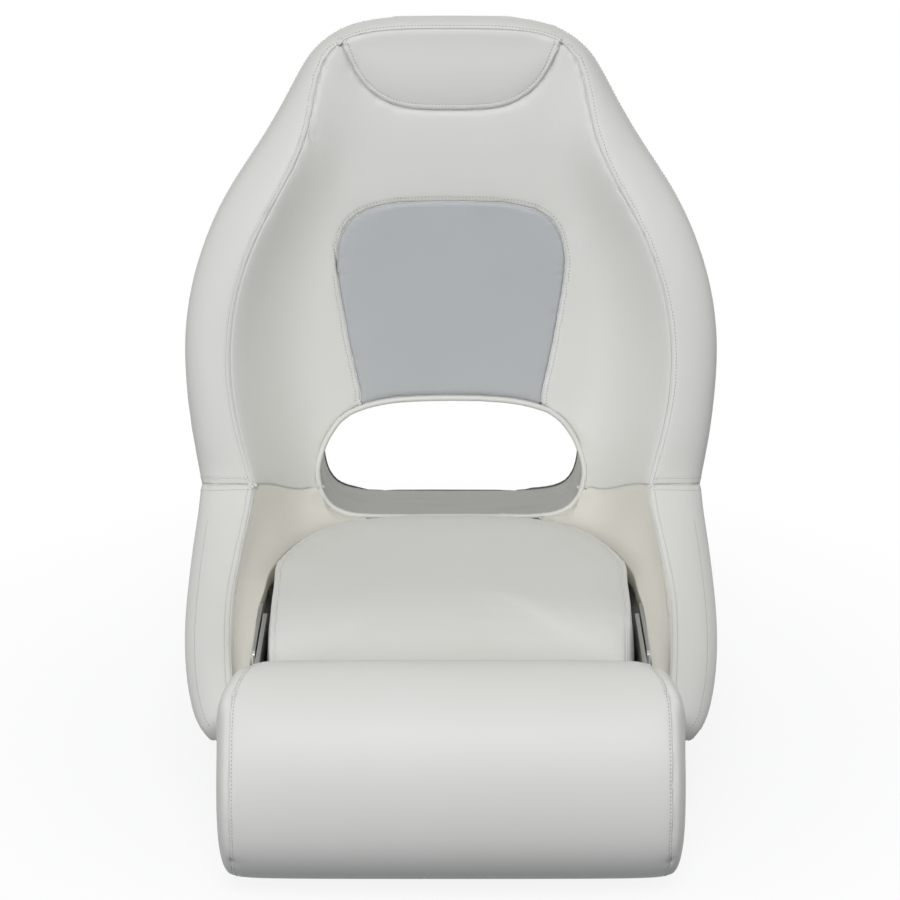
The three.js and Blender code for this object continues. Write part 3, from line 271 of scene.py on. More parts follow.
def mergedCopy(node):
    work = bmesh.new()
    work.from_mesh(nodes[node].data)
    bmesh.ops.remove_doubles(work, verts=work.verts, dist=soft["weld"])
    bmesh.ops.dissolve_degenerate(work, edges=work.edges, dist=soft["weld"])
    return work


def addObject(name, data):
    added = bpy.data.objects.new(name, data)
    bpy.context.scene.collection.objects.link(added)
    return added


def newPiece(name, work):
    mesh = bpy.data.meshes.new(name)
    work.to_mesh(mesh)
    work.free()
    return addObject(name, mesh)


def applyModifiers(piece):
    bpy.context.view_layer.update()
    graph = bpy.context.evaluated_depsgraph_get()
    mesh = bpy.data.meshes.new_from_object(piece.evaluated_get(graph))
    old = piece.data
    piece.modifiers.clear()
    piece.data = mesh
    bpy.data.meshes.remove(old)
    mesh.name = piece.name


def subdivide(piece, levels):
    modifier = piece.modifiers.new("smooth", "SUBSURF")
    modifier.levels = modifier.render_levels = levels
    applyModifiers(piece)


# A pad is given as its node and levels and, where it needs them, a sharpAngle, longest edge and rounds
def smoothedPiece(name, pad):
    work = mergedCopy(pad["node"])
    limit = math.radians(pad.get("sharpAngle", soft["sharpAngle"]))
    bmesh.ops.join_triangles(
        work, faces=work.faces, angle_face_threshold=math.radians(soft["flatAngle"]),
        angle_shape_threshold=math.pi)
    if "longest" in pad:
        long = [edge for edge in work.edges if edge.calc_length() > pad["longest"]]
        bmesh.ops.subdivide_edges(work, edges=long, cuts=soft["cuts"], use_grid_fill=True)
    crease = work.edges.layers.float.new("crease_edge")
    sewn = work.edges.layers.float.new("sewn")
    for edge in work.edges:
        if len(edge.link_faces) == 2 and edge.calc_face_angle() > limit:
            edge[crease] = soft["crease"]
            edge[sewn] = 1
    piece = newPiece(name, work)
    subdivide(piece, max(pad["levels"] - 1, 1))
    smoothOut(piece, pad.get("rounds", soft["smoothRounds"]))
    if pad["levels"] > 1:
        subdivide(piece, 1)
    piece.data.shade_smooth()
    return piece


# Evens the foam out everywhere but along the sewn edges
def smoothOut(piece, rounds):
    work = bmesh.new()
    work.from_mesh(piece.data)
    sewn = work.edges.layers.float["sewn"]
    free = [vertex for vertex in work.verts if all(edge[sewn] < 0.5 for edge in vertex.link_edges)]
    for count in range(rounds):
        bmesh.ops.smooth_vert(
            work, verts=free, factor=soft["smoothShare"], use_axis_x=True, use_axis_y=True, use_axis_z=True)
    work.to_mesh(piece.data)
    work.free()


def dress(piece, material, slot, body, *replaced):
    piece.data.materials.clear()
    piece.data.materials.append(material)
    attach(piece, body)
    if replaced:
        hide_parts(*replaced)


def moveVertices(piece, places):
    piece.data.vertices.foreach_set("co", [value for place in places for value in place])
    piece.data.update()


def placesOf(piece):
    return [vertex.co.copy() for vertex in piece.data.vertices]


def treeOf(mesh):
    return BVHTree.FromPolygons([v.co for v in mesh.vertices], [p.vertices for p in mesh.polygons])


def kdOf(points):
    tree = KDTree(len(points))
    for i, point in enumerate(points):
        tree.insert(point, i)
    tree.balance()
    return tree


def lineLength(points):
    return sum((b - a).length for a, b in zip(points, points[1:]))


# From 1 at nought down to 0 at a width
def fadeOut(distance, width):
    return (1 - (distance / width) ** 2) ** 2


# Places and directions at an even pitch along a line of [place, up] pairs
def evenly(line, pitch):
    total = lineLength([place for place, up in line])
    count = max(int(total / pitch), 2)
    spots = []
    travelled = 0
    for (a, upA), (b, upB) in zip(line, line[1:]):
        length = (b - a).length
        while length > 0 and len(spots) * total / count <= travelled + length:
            share = (len(spots) * total / count - travelled) / length
            spots.append((a.lerp(b, share), upA.lerp(upB, share).normalized(), (b - a).normalized()))
        travelled += length
    return spots


# Rows of neighbouring vertices, from the edges between them
def chains(edges):
    neighbours = {}
    for a, b in edges:
        neighbours.setdefault(a, []).append(b)
        neighbours.setdefault(b, []).append(a)
    unused = {frozenset(edge) for edge in edges}

    def onward(here):
        return [there for there in neighbours[here] if frozenset((here, there)) in unused]

    rows = []
    while unused:
        ends = [vertex for vertex in neighbours if len(onward(vertex)) == 1]
        row = [ends[0] if ends else next(iter(next(iter(unused))))]
        while onward(row[-1]):
            there = onward(row[-1])[0]
            unused.discard(frozenset((row[-1], there)))
            row.append(there)
        rows.append(row)
    return rows


# Camera, floor, lamps and world

view = {
    "target": Vector((0, 0, 0.368)),
    "distance": 2.6,
    "elevation": 20,
    "lens": 100.4,
    "sensorWidth": 36,
    "shift": (-0.0011, -0.0356),
}
camera = addObject("camera", bpy.data.cameras.new("camera"))
tilt = math.radians(view["elevation"])
camera.location = view["target"] + view["distance"] * Vector((0, -math.cos(tilt), math.sin(tilt)))
camera.rotation_euler = (math.pi / 2 - tilt, 0, 0)
camera.data.lens = view["lens"]
camera.data.sensor_width = view["sensorWidth"]
camera.data.shift_x, camera.data.shift_y = view["shift"]
bpy.context.scene.camera = camera
bpy.context.scene.view_settings.view_transform = "Standard"

stage = {
    "floorSize": 8,
    "seen": "#f2f2f2",
    "bounce": "#3d4351",  # what the floor throws back at the underside of the seat
    "lift": 0.86,  # the share of plain white in the floor under the seat, which lightens its shadow
    "fadeFrom": 0.3,  # the rest fades to white between these distances from the middle
    "fadeTo": 0.8,
}


# 1 for the rays that the camera sees, straight or in a reflection, and 0 for the light on the seat
def seenRays(tree):
    path = addNode(tree, "ShaderNodeLightPath")
    return addNode(
        tree, "ShaderNodeMath", {"operation": "MAXIMUM"},
        {0: path.outputs["Is Camera Ray"], 1: path.outputs["Is Glossy Ray"]})


def makeFloor():
    work = bmesh.new()
    bmesh.ops.create_grid(work, x_segments=1, y_segments=1, size=stage["floorSize"])
    floor = newPiece("floor", work)
    material, tree = newMaterial("paleFloor")
    place = addNode(tree, "ShaderNodeNewGeometry").outputs["Position"]
    reach = addNode(tree, "ShaderNodeVectorMath", {"operation": "LENGTH"}, {0: place})
    fade = addNode(
        tree, "ShaderNodeMapRange",
        {"From Min": stage["fadeFrom"], "From Max": stage["fadeTo"], "To Min": stage["lift"], "To Max": 1},
        {"Value": reach.outputs["Value"]})
    share = addNode(
        tree, "ShaderNodeMath", {"operation": "MULTIPLY"},
        {0: seenRays(tree).outputs[0], 1: fade.outputs[0]})
    path = addNode(tree, "ShaderNodeLightPath")
    colour = addNode(
        tree, "ShaderNodeMix", {"data_type": "RGBA", 6: linear(stage["bounce"]), 7: linear(stage["seen"])},
        {0: path.outputs["Is Camera Ray"]})
    matt = addNode(tree, "ShaderNodeBsdfDiffuse", links={"Color": colour.outputs[2]})
    white = addNode(tree, "ShaderNodeEmission", {"Color": (1, 1, 1, 1), "Strength": 1})
    both = addNode(
        tree, "ShaderNodeMixShader",
        links={0: share.outputs[0], 1: matt.outputs[0], 2: white.outputs[0]})
    finishMaterial(tree, both)
    floor.data.materials.append(material)


makeFloor()

# A broad soft key above the camera, and a fill low down at each side, the left one the stronger
lamps = {
    "key": {"place": (0, -3.5, 4.1), "size": 2.5, "power": 126},
    "fill": {"place": (-2.88, -3.84, 1.23), "size": 2.5, "power": 52},
    "fillRight": {"place": (2.88, -3.84, 1.23), "size": 1, "power": 12},
}
lampColour = (0.925, 0.94, 1)
lampAim = Vector((0, 0, 0.35))
for name, lamp in lamps.items():
    light = addObject(name, bpy.data.lights.new(name, "AREA"))
    light.data.shape = "DISK"
    light.data.size = lamp["size"]
    light.data.energy = lamp["power"]
    light.data.color = lampColour
    light.location = lamp["place"]
    light.rotation_euler = (lampAim - light.location).to_track_quat("-Z", "Y").to_euler()

sky = {"strength": 0.41, "colour": (0.97, 0.98, 1, 1)}
world = bpy.data.worlds.new("world")
bpy.context.scene.world = world
world.use_nodes = True
worldTree = world.node_tree
worldTree.nodes.clear()
ambient = addNode(
    worldTree, "ShaderNodeBackground", {"Color": sky["colour"], "Strength": sky["strength"]})
backdrop = addNode(worldTree, "ShaderNodeBackground", {"Color": (1, 1, 1, 1), "Strength": 1})
mixed = addNode(
    worldTree, "ShaderNodeMixShader",
    links={0: seenRays(worldTree).outputs[0], 1: ambient.outputs[0], 2: backdrop.outputs[0]})
addNode(worldTree, "ShaderNodeOutputWorld", links={"Surface": mixed.outputs[0]})
print("camera, floor and lamps placed")

# Pads and covers

pads = {
    "wingPad": {"node": "wing_pad", "levels": 3},
    "sidePadRight": {"node": "right_side_pad", "levels": 3, "sharpAngle": 53},
    "sidePadLeft": {"node": "left_side_pad", "levels": 3, "sharpAngle": 53},
    "backPad": {"node": "back_pad", "levels": 3},
    "backInsert": {"node": "back_insert", "levels": 3, "material": greyVinyl, "slot": "grey_vinyl"},
    "headrestPad": {"node": "headrest_pad", "levels": 3},
    "hipPad": {"node": "hip_pad", "levels": 3, "material": warmVinyl},
    # the sleeve's darker grey is painted shade
    "openingTrim": {"node": "opening_trim", "levels": 2, "longest": 60 * mm, "material": sleeveVinylPaintedShade},
    "rearCover": {"node": "rear_cover", "levels": 2, "rounds": 0},
    "sideCoverRight": {"node": "right_side_cover", "levels": 2},
    "sideCoverLeft": {"node": "left_side_cover", "levels": 2},
    "bolsterPad": {"node": "bolster_pad", "levels": 3, "body": "bolster", "sharpAngle": 60},
    "bolsterEndRight": {"node": "right_bolster_end", "levels": 3, "body": "bolster", "sharpAngle": 60},
    "bolsterEndLeft": {"node": "left_bolster_end", "levels": 3, "body": "bolster", "sharpAngle": 60},
}
made = {}
for name, pad in pads.items():
    piece = made[name] = smoothedPiece(name, pad)
    material, slot = pad.get("material", whiteVinyl), pad.get("slot", "white_vinyl")
    dress(piece, material, slot, pad.get("body", "seat"), pad["node"])
    print(name, len(piece.data.polygons), "faces")

# The sewn seam across the waist droops between the ridge and the opening
waist = {
    "inner": 131 * mm,
    "outer": 203 * mm,
    "planeTilt": 20,
    "planeHeight": 273.9 * mm,
    "droop": 6 * mm,
    "reach": 35 * mm,
    "corner": Vector((214, 75.5, 263)) * mm,  # where four pads meet
    "cornerUp": Vector((0, -0.6, 0.8)),
}


def droopWaist(piece):
    tilt = math.radians(waist["planeTilt"])
    across = Vector((0, math.sin(tilt), math.cos(tilt)))
    places = placesOf(piece)
    for place in places:
        share = (abs(place.x) - waist["inner"]) / (waist["outer"] - waist["inner"])
        if 0 < share < 1:
            off = (place.dot(across) - waist["planeHeight"]) / waist["reach"]
            place -= across * waist["droop"] * math.sin(math.pi * share) ** 2 * math.exp(-off * off)
    moveVertices(piece, places)


for name in ("backPad", "hipPad"):
    droopWaist(made[name])

# The sleeve's floor lies loose: it sinks behind its front lip and folds lengthwise
sleeve = {
    "front": 150.7 * mm,
    "depth": 71.4 * mm,
    "below": 222 * mm,
    "facingUp": 0.3,
    "sink": 2.4 * mm,
    "sinkPlace": 0.22,  # these two are shares of the depth
    "sinkWidth": 0.14,
    "foldLength": 48 * mm,
    "foldWidth": 11 * mm,
    "foldHeight": 2.6 * mm,
    "foldSlice": 0.37,  # which folds the noise gives
    "rimSteps": 140,
    "rimFacing": 0.9,
    "rimReach": 4,  # neighbours at each side that the running median looks at
    "stray": 3 * mm,
    # the size and place of the charcoal cord, a painted shadow line along the far rim
    "weltRadius": 1.5 * mm,
    "weltInset": 1.8 * mm,
    "lipRadius": 3 * mm,
    "lipForward": 1.2 * mm,
    "lipRoundness": 3,
}


def foldSleeve(piece):
    places = placesOf(piece)
    for vertex, place in zip(piece.data.vertices, places):
        share = (place.y - sleeve["front"]) / sleeve["depth"]
        if 0 < share < 1 and place.z < sleeve["below"] and vertex.normal.z > sleeve["facingUp"]:
            spot = Vector(
                (place.x / sleeve["foldLength"], place.y / sleeve["foldWidth"], sleeve["foldSlice"]))
            fold = sleeve["foldHeight"] * noise.noise(spot) * math.sin(math.pi * share)
            off = (share - sleeve["sinkPlace"]) / sleeve["sinkWidth"]
            place.z += fold - sleeve["sink"] * math.exp(-off ** 2)
    moveVertices(piece, places)


# The sleeve's far rim (way 1) or near rim (way -1) as a ring, moved inward by an inset.
# Stray places go to the running median.
def rimRing(piece, way, inset):
    centre = sum(placesOf(piece), Vector()) / len(piece.data.vertices)
    bins = {}
    for vertex in piece.data.vertices:
        if vertex.normal.y * way > sleeve["rimFacing"]:
            off = vertex.co - centre
            turn = math.atan2(off.z, off.x) / (2 * math.pi) + 0.5
            bins.setdefault(int(turn * sleeve["rimSteps"]), []).append(vertex.co)
    rough = [sum(bins[key], Vector()) / len(bins[key]) for key in sorted(bins)]
    reach = sleeve["rimReach"]
    ring = []
    for number, place in enumerate(rough):
        near = [rough[(number + k) % len(rough)] for k in range(-reach, reach + 1)]
        middle = Vector([sorted(other[axis] for other in near)[reach] for axis in range(3)])
        ring.append(place if (place - middle).length < sleeve["stray"] else middle)
    rim = []
    for before, place, after in zip([ring[-1], *ring], ring, [*ring[1:], ring[0]]):
        inward = Vector((0, -1, 0)).cross(after - before).normalized()
        rim.append(place + inward * inset)
    return [*rim, rim[0]]


foldSleeve(made["openingTrim"])

# Seams: each pair of pads, and its rows of stitches as a pad and a distance from the seam.
# A lip is raised along one pad, a seam that is under runs beneath another piece, and the ends of
# a plugged one are filled. Rounds, reach and extra are given where the seam needs its own.

seams = [
    {"pair": ("wingPad", "backPad"), "rows": {"wingPad": 6 * mm}},
    {"pair": ("wingPad", "headrestPad"), "rows": {"wingPad": 5 * mm}},
    {"pair": ("headrestPad", "backPad"), "rows": {"headrestPad": 7 * mm}, "lip": ("headrestPad", 1.5 * mm)},
    {"pair": ("backPad", "backInsert"), "rows": {"backPad": 5.5 * mm}},
    {"pair": ("backPad", "hipPad"), "rows": {}},
    {"pair": ("backPad", "openingTrim"), "rows": {}},
    {"pair": ("backInsert", "openingTrim"), "rows": {}},
    {"pair": ("hipPad", "openingTrim"), "rows": {}, "reach": 9 * mm, "under": True},
    {"pair": ("wingPad", "rearCover"), "rows": {"wingPad": 8 * mm, "rearCover": 8 * mm}, "rounds": 12},
    {"pair": ("openingTrim", "rearCover"), "rows": {"rearCover": 6 * mm}},
]
for side in ("Right", "Left"):
    band, cover, end = "sidePad" + side, "sideCover" + side, "bolsterEnd" + side
    seams += [
        {"pair": ("wingPad", band), "rows": {"wingPad": 7.5 * mm, band: 7.5 * mm}, "plugged": True},
        {"pair": (band, "hipPad"), "rows": {band: 6 * mm, "hipPad": 6 * mm}},
        {"pair": (band, cover), "rows": {band: 8 * mm, cover: 8 * mm}, "extra": 0},
        {"pair": ("rearCover", cover), "rows": {"rearCover": 7 * mm, cover: 7 * mm}},
        {"pair": ("bolsterPad", end), "rows": {"bolsterPad": 2.6 * mm}, "body": "bolster", "plugged": True},
    ]
sewing = {
    "reach": 4.5 * mm,  # two sewn edges lie closer than this
    "openFrom": 6 * mm,
    "openDistance": 45 * mm,  # and nothing stands over them, from openFrom up to this
    "evenRounds": 4,
    "closeWidth": 14 * mm,  # the seams are drawn shut over this width
    "clearance": 0.25 * mm,
    "joinGap": 14 * mm,
    "leastLength": 14 * mm,
    "leastRow": 32 * mm,  # shorter seams have no stitches
    "samplePitch": 2 * mm,
    "shellClearance": 1.2 * mm,  # how far the rear cover stays off the shell
    "shellFacing": 0.5,  # where the two face the same way
    "mostLift": 4 * mm,  # and it needs no more than this
    "tuckDepth": 0.6 * mm,
    "tuckWidth": 6 * mm,
    "lipWidth": 7 * mm,
    "cordRadius": 1 * mm,
    "cordMost": 2 * mm,
    "cordSpare": 0.2 * mm,  # how much thicker a cord is than its seam is open
    "cordReach": 6,  # neighbours at each side whose gaps are averaged
    "cordDepth": -0.15 * mm,
    "cordWeld": 0.01 * mm,
    "plugRadius": 2.5 * mm,
    "plugLength": 3 * mm,
    "plugDepth": 0.5 * mm,
    "cordExtra": 5 * mm,  # how far a cord runs on past the ends of its seam
    "stitchLength": 2.1 * mm,
    "stitchPitch": 3.7 * mm,
    "stitchRadius": 0.4 * mm,
    "stitchLift": 0.1 * mm,
    "rowShare": 0.6,  # a row's stitches stray from it by less than this share of its offset
    "rowSlack": 1.5 * mm,  # and this
    "farDistance": 40,  # in millimetres, like the seam distances
}


# Every CAD solid in one tree
def solidsTree():
    corners = []
    faces = []
    for solid in nodes.values():
        base = len(corners)
        corners += [vertex.co for vertex in solid.data.vertices]
        faces += [[base + i for i in polygon.vertices] for polygon in solid.data.polygons]
    return BVHTree.FromPolygons(corners, faces)


# Where a pad's sewn edges meet its neighbour in the open: [middle, up] for each vertex, and the edges.
# What would close the gap at each vertex is added to closing.
def meeting(pad, neighbour, seam, solids):
    other = treeOf(made[neighbour].data)
    work = bmesh.new()
    work.from_mesh(made[pad].data)
    sewn = work.edges.layers.float["sewn"]
    spots = {}
    edges = []
    for edge in work.edges:
        if edge[sewn] < 0.5:
            continue
        for vertex in edge.verts:
            if vertex.index in spots:
                continue
            near, normal, index, distance = other.find_nearest(vertex.co)
            spots[vertex.index] = None
            if distance < seam.get("reach", sewing["reach"]):
                up = (vertex.normal + normal).normalized()
                middle = (vertex.co + near) / 2
                above = solids.ray_cast(middle + sewing["openFrom"] * up, up, sewing["openDistance"])[0]
                if above is None or seam.get("under"):
                    spots[vertex.index] = (middle, up)
                    shift = middle - vertex.co
                    share = max(1 - sewing["clearance"] / max(shift.length, tiny), 0)
                    closing[pad].append((vertex.co.copy(), shift * share))
        if all(spots[vertex.index] for vertex in edge.verts):
            edges.append(tuple(vertex.index for vertex in edge.verts))
    work.free()
    return spots, edges


# Draws a pad's edges shut against its neighbours
def closeUp(piece, shifts):
    tree = kdOf([place for place, shift in shifts])
    places = placesOf(piece)
    for place in places:
        near, index, distance = tree.find(place)
        if distance < sewing["closeWidth"]:
            place += shifts[index][1] * fadeOut(distance, sewing["closeWidth"])
    moveVertices(piece, places)


# The open lines along which two pads meet, as [place, up] pairs
def seamLines(seam, solids):
    first, second = seam["pair"]
    spots, edges = meeting(first, second, seam, solids)
    meeting(second, first, seam, solids)
    lines = joinLines([[spots[i] for i in row] for row in chains(edges)])
    lines = [evened(line, seam.get("rounds", sewing["evenRounds"])) for line in lines]
    return [line for line in lines if lineLength([place for place, up in line]) > sewing["leastLength"]]


# Joins lines that carry on from each other across a small gap
def joinLines(lines):
    for first, second in combinations(lines, 2):
        for a in (first, first[::-1]):
            for b in (second, second[::-1]):
                step = b[0][0] - a[-1][0]
                ahead = (a[-1][0] - a[-2][0]).dot(b[1][0] - b[0][0]) > 0
                if step.length < sewing["joinGap"] and ahead:
                    rest = [line for line in lines if line is not first and line is not second]
                    return joinLines([*rest, a + b])
    return lines


# Softens the bends of a line of [place, up] pairs and keeps its ends
def evened(line, rounds):
    for count in range(rounds):
        inner = [
            ((a[0] + 2 * b[0] + c[0]) / 4, (a[1] + 2 * b[1] + c[1]).normalized())
            for a, b, c in zip(line, line[1:], line[2:])]
        line = [line[0], *inner, line[-1]]
    return line


# What the vinyl's bump reads: how far each point is from its seam, and the seam from its stitches
def noteSeams(piece, seamDistances, stitchOffsets):
    for label, values in (("seamDistance", seamDistances), ("stitchOffset", stitchOffsets)):
        attribute = piece.data.attributes.new(label, "FLOAT", "POINT")
        attribute.data.foreach_set("value", values)


# Draws the vinyl down into the seams
def tuckIn(piece, tree, spots):
    rowHere = {
        number: seam["rows"][piece.name] / mm
        for number, seam in enumerate(seams) if piece.name in seam["rows"]}
    lipHere = {
        number: seam["lip"][1]
        for number, seam in enumerate(seams) if seam.get("lip", [None])[0] == piece.name}
    places = placesOf(piece)
    seamDistances = []
    stitchOffsets = []
    for place in places:
        near, index, distance = tree.find(place)
        up, seam = spots[index]
        seamDistances.append(min(distance / mm, sewing["farDistance"]))
        stitchOffsets.append(rowHere.get(seam, -sewing["farDistance"]))
        if distance < sewing["tuckWidth"]:
            place -= up * sewing["tuckDepth"] * fadeOut(distance, sewing["tuckWidth"])
        if distance < sewing["lipWidth"]:
            place += up * lipHere.get(seam, 0) * math.sin(math.pi * distance / sewing["lipWidth"]) ** 2
    moveVertices(piece, places)
    noteSeams(piece, seamDistances, stitchOffsets)


# A round cord along each line of [place, radius] pairs
def cordPiece(name, lines, material, body, roundness=1):
    curve = bpy.data.curves.new(name, "CURVE")
    curve.dimensions = "3D"
    curve.bevel_depth = 1
    curve.bevel_resolution = roundness
    curve.use_fill_caps = True
    for line in lines:
        spline = curve.splines.new("POLY")
        if (line[0][0] - line[-1][0]).length < sewing["cordWeld"]:
            spline.use_cyclic_u = True
            line = line[:-1]
        spline.points.add(len(line) - 1)
        for point, (place, radius) in zip(spline.points, line):
            point.co = (*place, 1)
            point.radius = radius
    drawn = addObject(name + "Path", curve)
    bpy.context.view_layer.update()
    graph = bpy.context.evaluated_depsgraph_get()
    work = bmesh.new()
    work.from_mesh(bpy.data.meshes.new_from_object(drawn.evaluated_get(graph)))
    bmesh.ops.remove_doubles(work, verts=work.verts, dist=sewing["cordWeld"])
    bmesh.ops.recalc_face_normals(work, faces=work.faces)
    bpy.data.objects.remove(drawn)
    piece = newPiece(name, work)
    piece.data.shade_smooth()
    dress(piece, material, "white_vinyl", body)


# Stitches as small rounded grains, each as [place, normal, along]
def stitchPiece(name, spots, body):
    length, radius = sewing["stitchLength"], sewing["stitchRadius"]
    work = bmesh.new()
    for place, normal, along in spots:
        across = normal.cross(along).normalized()
        turn = Matrix((along, across, normal)).transposed().to_4x4()
        size = Matrix.Diagonal((length / 2, radius, radius, 1))
        bmesh.ops.create_icosphere(
            work, subdivisions=1, radius=1, matrix=Matrix.Translation(place) @ turn @ size)
    piece = newPiece(name, work)
    piece.data.shade_smooth()
    # the thread's grey includes painted shade for the stitch holes
    dress(piece, threadAndHoleShadeMaterial, "white_vinyl", body)


# A stitch laid flat on a surface along its row
def stitchOn(place, normal, along):
    flat = (along - normal * along.dot(normal)).normalized()
    return place + normal * sewing["stitchLift"], normal, flat


# The stitches of a row on a pad, at an offset from the seam's line
def stitchSpots(line, pad, offset):
    tree = treeOf(made[pad].data)
    spots = []
    for place, up, along in evenly(line, sewing["stitchPitch"]):
        sideward = up.cross(along).normalized() * offset
        found = [tree.find_nearest(place + way * sideward) for way in (1, -1)]
        near, normal, index, distance = min(found, key=lambda hit: hit[3])
        if distance < sewing["rowShare"] * offset + sewing["rowSlack"]:
            spots.append(stitchOn(near, normal, along))
    return spots


# Keeps a cover's outer face clear of the shell under it
def keepOver(piece, shell):
    places = placesOf(piece)
    for vertex, place in zip(piece.data.vertices, places):
        near, normal, index, distance = shell.find_nearest(place)
        lift = sewing["shellClearance"] - (place - near).dot(normal)
        if vertex.normal.dot(normal) > sewing["shellFacing"] and 0 < lift < sewing["mostLift"]:
            place += normal * lift
    moveVertices(piece, places)


solids = solidsTree()
closing = {name: [] for name in made}
samples = []
for number, seam in enumerate(seams):
    seam["lines"] = seamLines(seam, solids)
    lengths = [round(lineLength([place for place, up in line]) / mm) for line in seam["lines"]]
    print("seam", *seam["pair"], lengths)
    for line in seam["lines"]:
        samples += [(place, up, number) for place, up, along in evenly(line, sewing["samplePitch"])]
seamTree = kdOf([place for place, up, number in samples])
for name, piece in made.items():
    closeUp(piece, closing[name])
    tuckIn(piece, seamTree, [(up, number) for place, up, number in samples])
keepOver(made["rearCover"], treeOf(nodes["seat_shell"].data))
print("seams tucked in")


# A seam's cord lies in the bottom of the seam, and is as thick as the seam is open there
def seamCord(line, seam):
    trees = [treeOf(made[pad].data) for pad in seam["pair"]]
    extra = seam.get("extra", sewing["cordExtra"])
    ends = [
        (line[0][0] + (line[0][0] - line[1][0]).normalized() * extra, line[0][1]),
        (line[-1][0] + (line[-1][0] - line[-2][0]).normalized() * extra, line[-1][1])]
    line = [ends[0], *line, ends[1]]
    gaps = [max(tree.find_nearest(place)[3] for tree in trees) for place, up in line]
    reach = sewing["cordReach"]
    cord = []
    for number, (place, up) in enumerate(line):
        near = gaps[max(number - reach, 0):number + reach + 1]
        wide = sum(near) / len(near) + sewing["cordSpare"]
        radius = min(max(sewing["cordRadius"], wide), sewing["cordMost"])
        cord.append((place - up * (sewing["tuckDepth"] + sewing["cordDepth"] + radius), radius))
    return cord


# Fills the hollow where seams meet
def plug(place, up):
    top = place - up * sewing["plugDepth"]
    return [(top - up * sewing["plugLength"], sewing["plugRadius"]), (top, sewing["plugRadius"])]


# The row of stitches down the front of a side pad, a little inside its outline
outer = {
    "top": 250 * mm,
    "bottom": 40 * mm,
    "step": 4 * mm,
    "start": 300,  # in millimetres: where the search for the outline starts, out from the middle
    "inset": 13 * mm,
    "rounds": 6,
}


def outerRow(pad, side):
    tree = treeOf(made[pad].data)
    ahead = Vector((0, math.cos(tilt), -math.sin(tilt)))  # the way the camera looks
    line = []
    for number in range(int((outer["top"] - outer["bottom"]) / outer["step"])):
        base = Vector((0, 0, outer["top"] - number * outer["step"])) - ahead
        across = [side * x * mm for x in range(outer["start"], 0, -1)]
        edge = next((x for x in across if tree.ray_cast(base + Vector((x, 0, 0)), ahead)[0]), None)
        if edge is None:
            continue
        inside = base + Vector((edge - side * outer["inset"], 0, 0))
        place, normal, index, distance = tree.ray_cast(inside, ahead)
        if place is not None:
            line.append((place, normal))
    line = evened(line, outer["rounds"])
    return [
        stitchOn(*tree.find_nearest(place)[:2], along)
        for place, up, along in evenly(line, sewing["stitchPitch"])]


cords = {"seat": [], "bolster": []}
stitches = {"seat": [], "bolster": []}
for seam in seams:
    body = seam.get("body", "seat")
    for line in seam["lines"]:
        cords[body].append(seamCord(line, seam))
        if seam.get("plugged"):
            cords[body] += [plug(*line[0]), plug(*line[-1])]
        if lineLength([place for place, up in line]) > sewing["leastRow"]:
            for pad, offset in seam["rows"].items():
                stitches[body] += stitchSpots(line, pad, offset)
for pad, side in (("sidePadRight", 1), ("sidePadLeft", -1)):
    stitches["seat"] += outerRow(pad, side)
    cords["seat"].append(plug(waist["corner"] * Vector((side, 1, 1)), waist["cornerUp"]))
# a charcoal cord along the far rim: painted shadow
farRim = rimRing(made["openingTrim"], 1, sleeve["weltInset"])
cordPiece("sleeveWelt", [[(place, sleeve["weltRadius"]) for place in farRim]], shadowLineCordMaterial, "seat")
lipLine = [
    (place - Vector((0, sleeve["lipForward"], 0)), sleeve["lipRadius"])
    for place in rimRing(made["openingTrim"], -1, 0)]
cordPiece("sleeveLip", [lipLine], whiteVinyl, "seat", sleeve["lipRoundness"])
for body in cords:
    cordPiece(body + "SeamCords", cords[body], weltMaterial, body)
    stitchPiece(body + "Stitches", stitches[body], body)
    print(body, len(cords[body]), "seam cords and", len(stitches[body]), "stitches")

# Seat cushion: inflated by simulation, then sewn round its upper edge

cushion = {
    "node": "seat_cushion",
    "levels": 1,
    "voxel": 4.4 * mm,
    "shrink": 0.5 * mm,
    "pressure": 4,
    "frames": 20,
    "cap": 0.7 * mm,  # the furthest that the foam swells
    "inward": 0.2,  # the share of an inward move that is kept
    "heldBelow": 112 * mm,
    "linePitch": 3 * mm,
    "lineRounds": 3,
    "seamInset": 8 * mm,
    "seamDepth": 1.4 * mm,
    "seamWidth": 4.5 * mm,
    "weltRadius": 0.9 * mm,
    "weltDepth": 1.1 * mm,
}


# Lets a padded piece swell under pressure, apart from the part that is held
def inflate(piece, settings, isHeld):
    held = piece.vertex_groups.new(name="held")
    held.add([vertex.index for vertex in piece.data.vertices if isHeld(vertex.co)], 1, "REPLACE")
    modifier = piece.modifiers.new("padding", "CLOTH")
    cloth = modifier.settings
    cloth.use_pressure = True
    cloth.uniform_pressure_force = settings["pressure"]
    cloth.effector_weights.gravity = 0
    cloth.vertex_group_mass = "held"
    modifier.collision_settings.use_collision = False
    before = placesOf(piece)
    normals = [vertex.normal.copy() for vertex in piece.data.vertices]
    for number in range(1, settings["frames"] + 1):
        bpy.context.scene.frame_set(number)
    graph = bpy.context.evaluated_depsgraph_get()
    after = [vertex.co.copy() for vertex in piece.evaluated_get(graph).data.vertices]
    piece.modifiers.clear()
    piece.vertex_groups.clear()
    bpy.context.scene.frame_set(1)
    for place, target, normal in zip(before, after, normals):
        move = target - place
        if move.dot(normal) < 0:
            move *= settings["inward"]
        place += move * min(1, settings["cap"] / max(move.length, tiny))
    moveVertices(piece, before)


def makeCushion():
    piece = smoothedPiece("seatCushion", cushion)
    voxels = piece.modifiers.new("voxels", "REMESH")
    voxels.mode = "VOXEL"
    voxels.voxel_size = cushion["voxel"]
    applyModifiers(piece)
    places = [vertex.co - vertex.normal * cushion["shrink"] for vertex in piece.data.vertices]
    moveVertices(piece, places)
    inflate(piece, cushion, lambda place: place.z < cushion["heldBelow"])
    subdivide(piece, 1)
    piece.data.shade_smooth()
    return piece


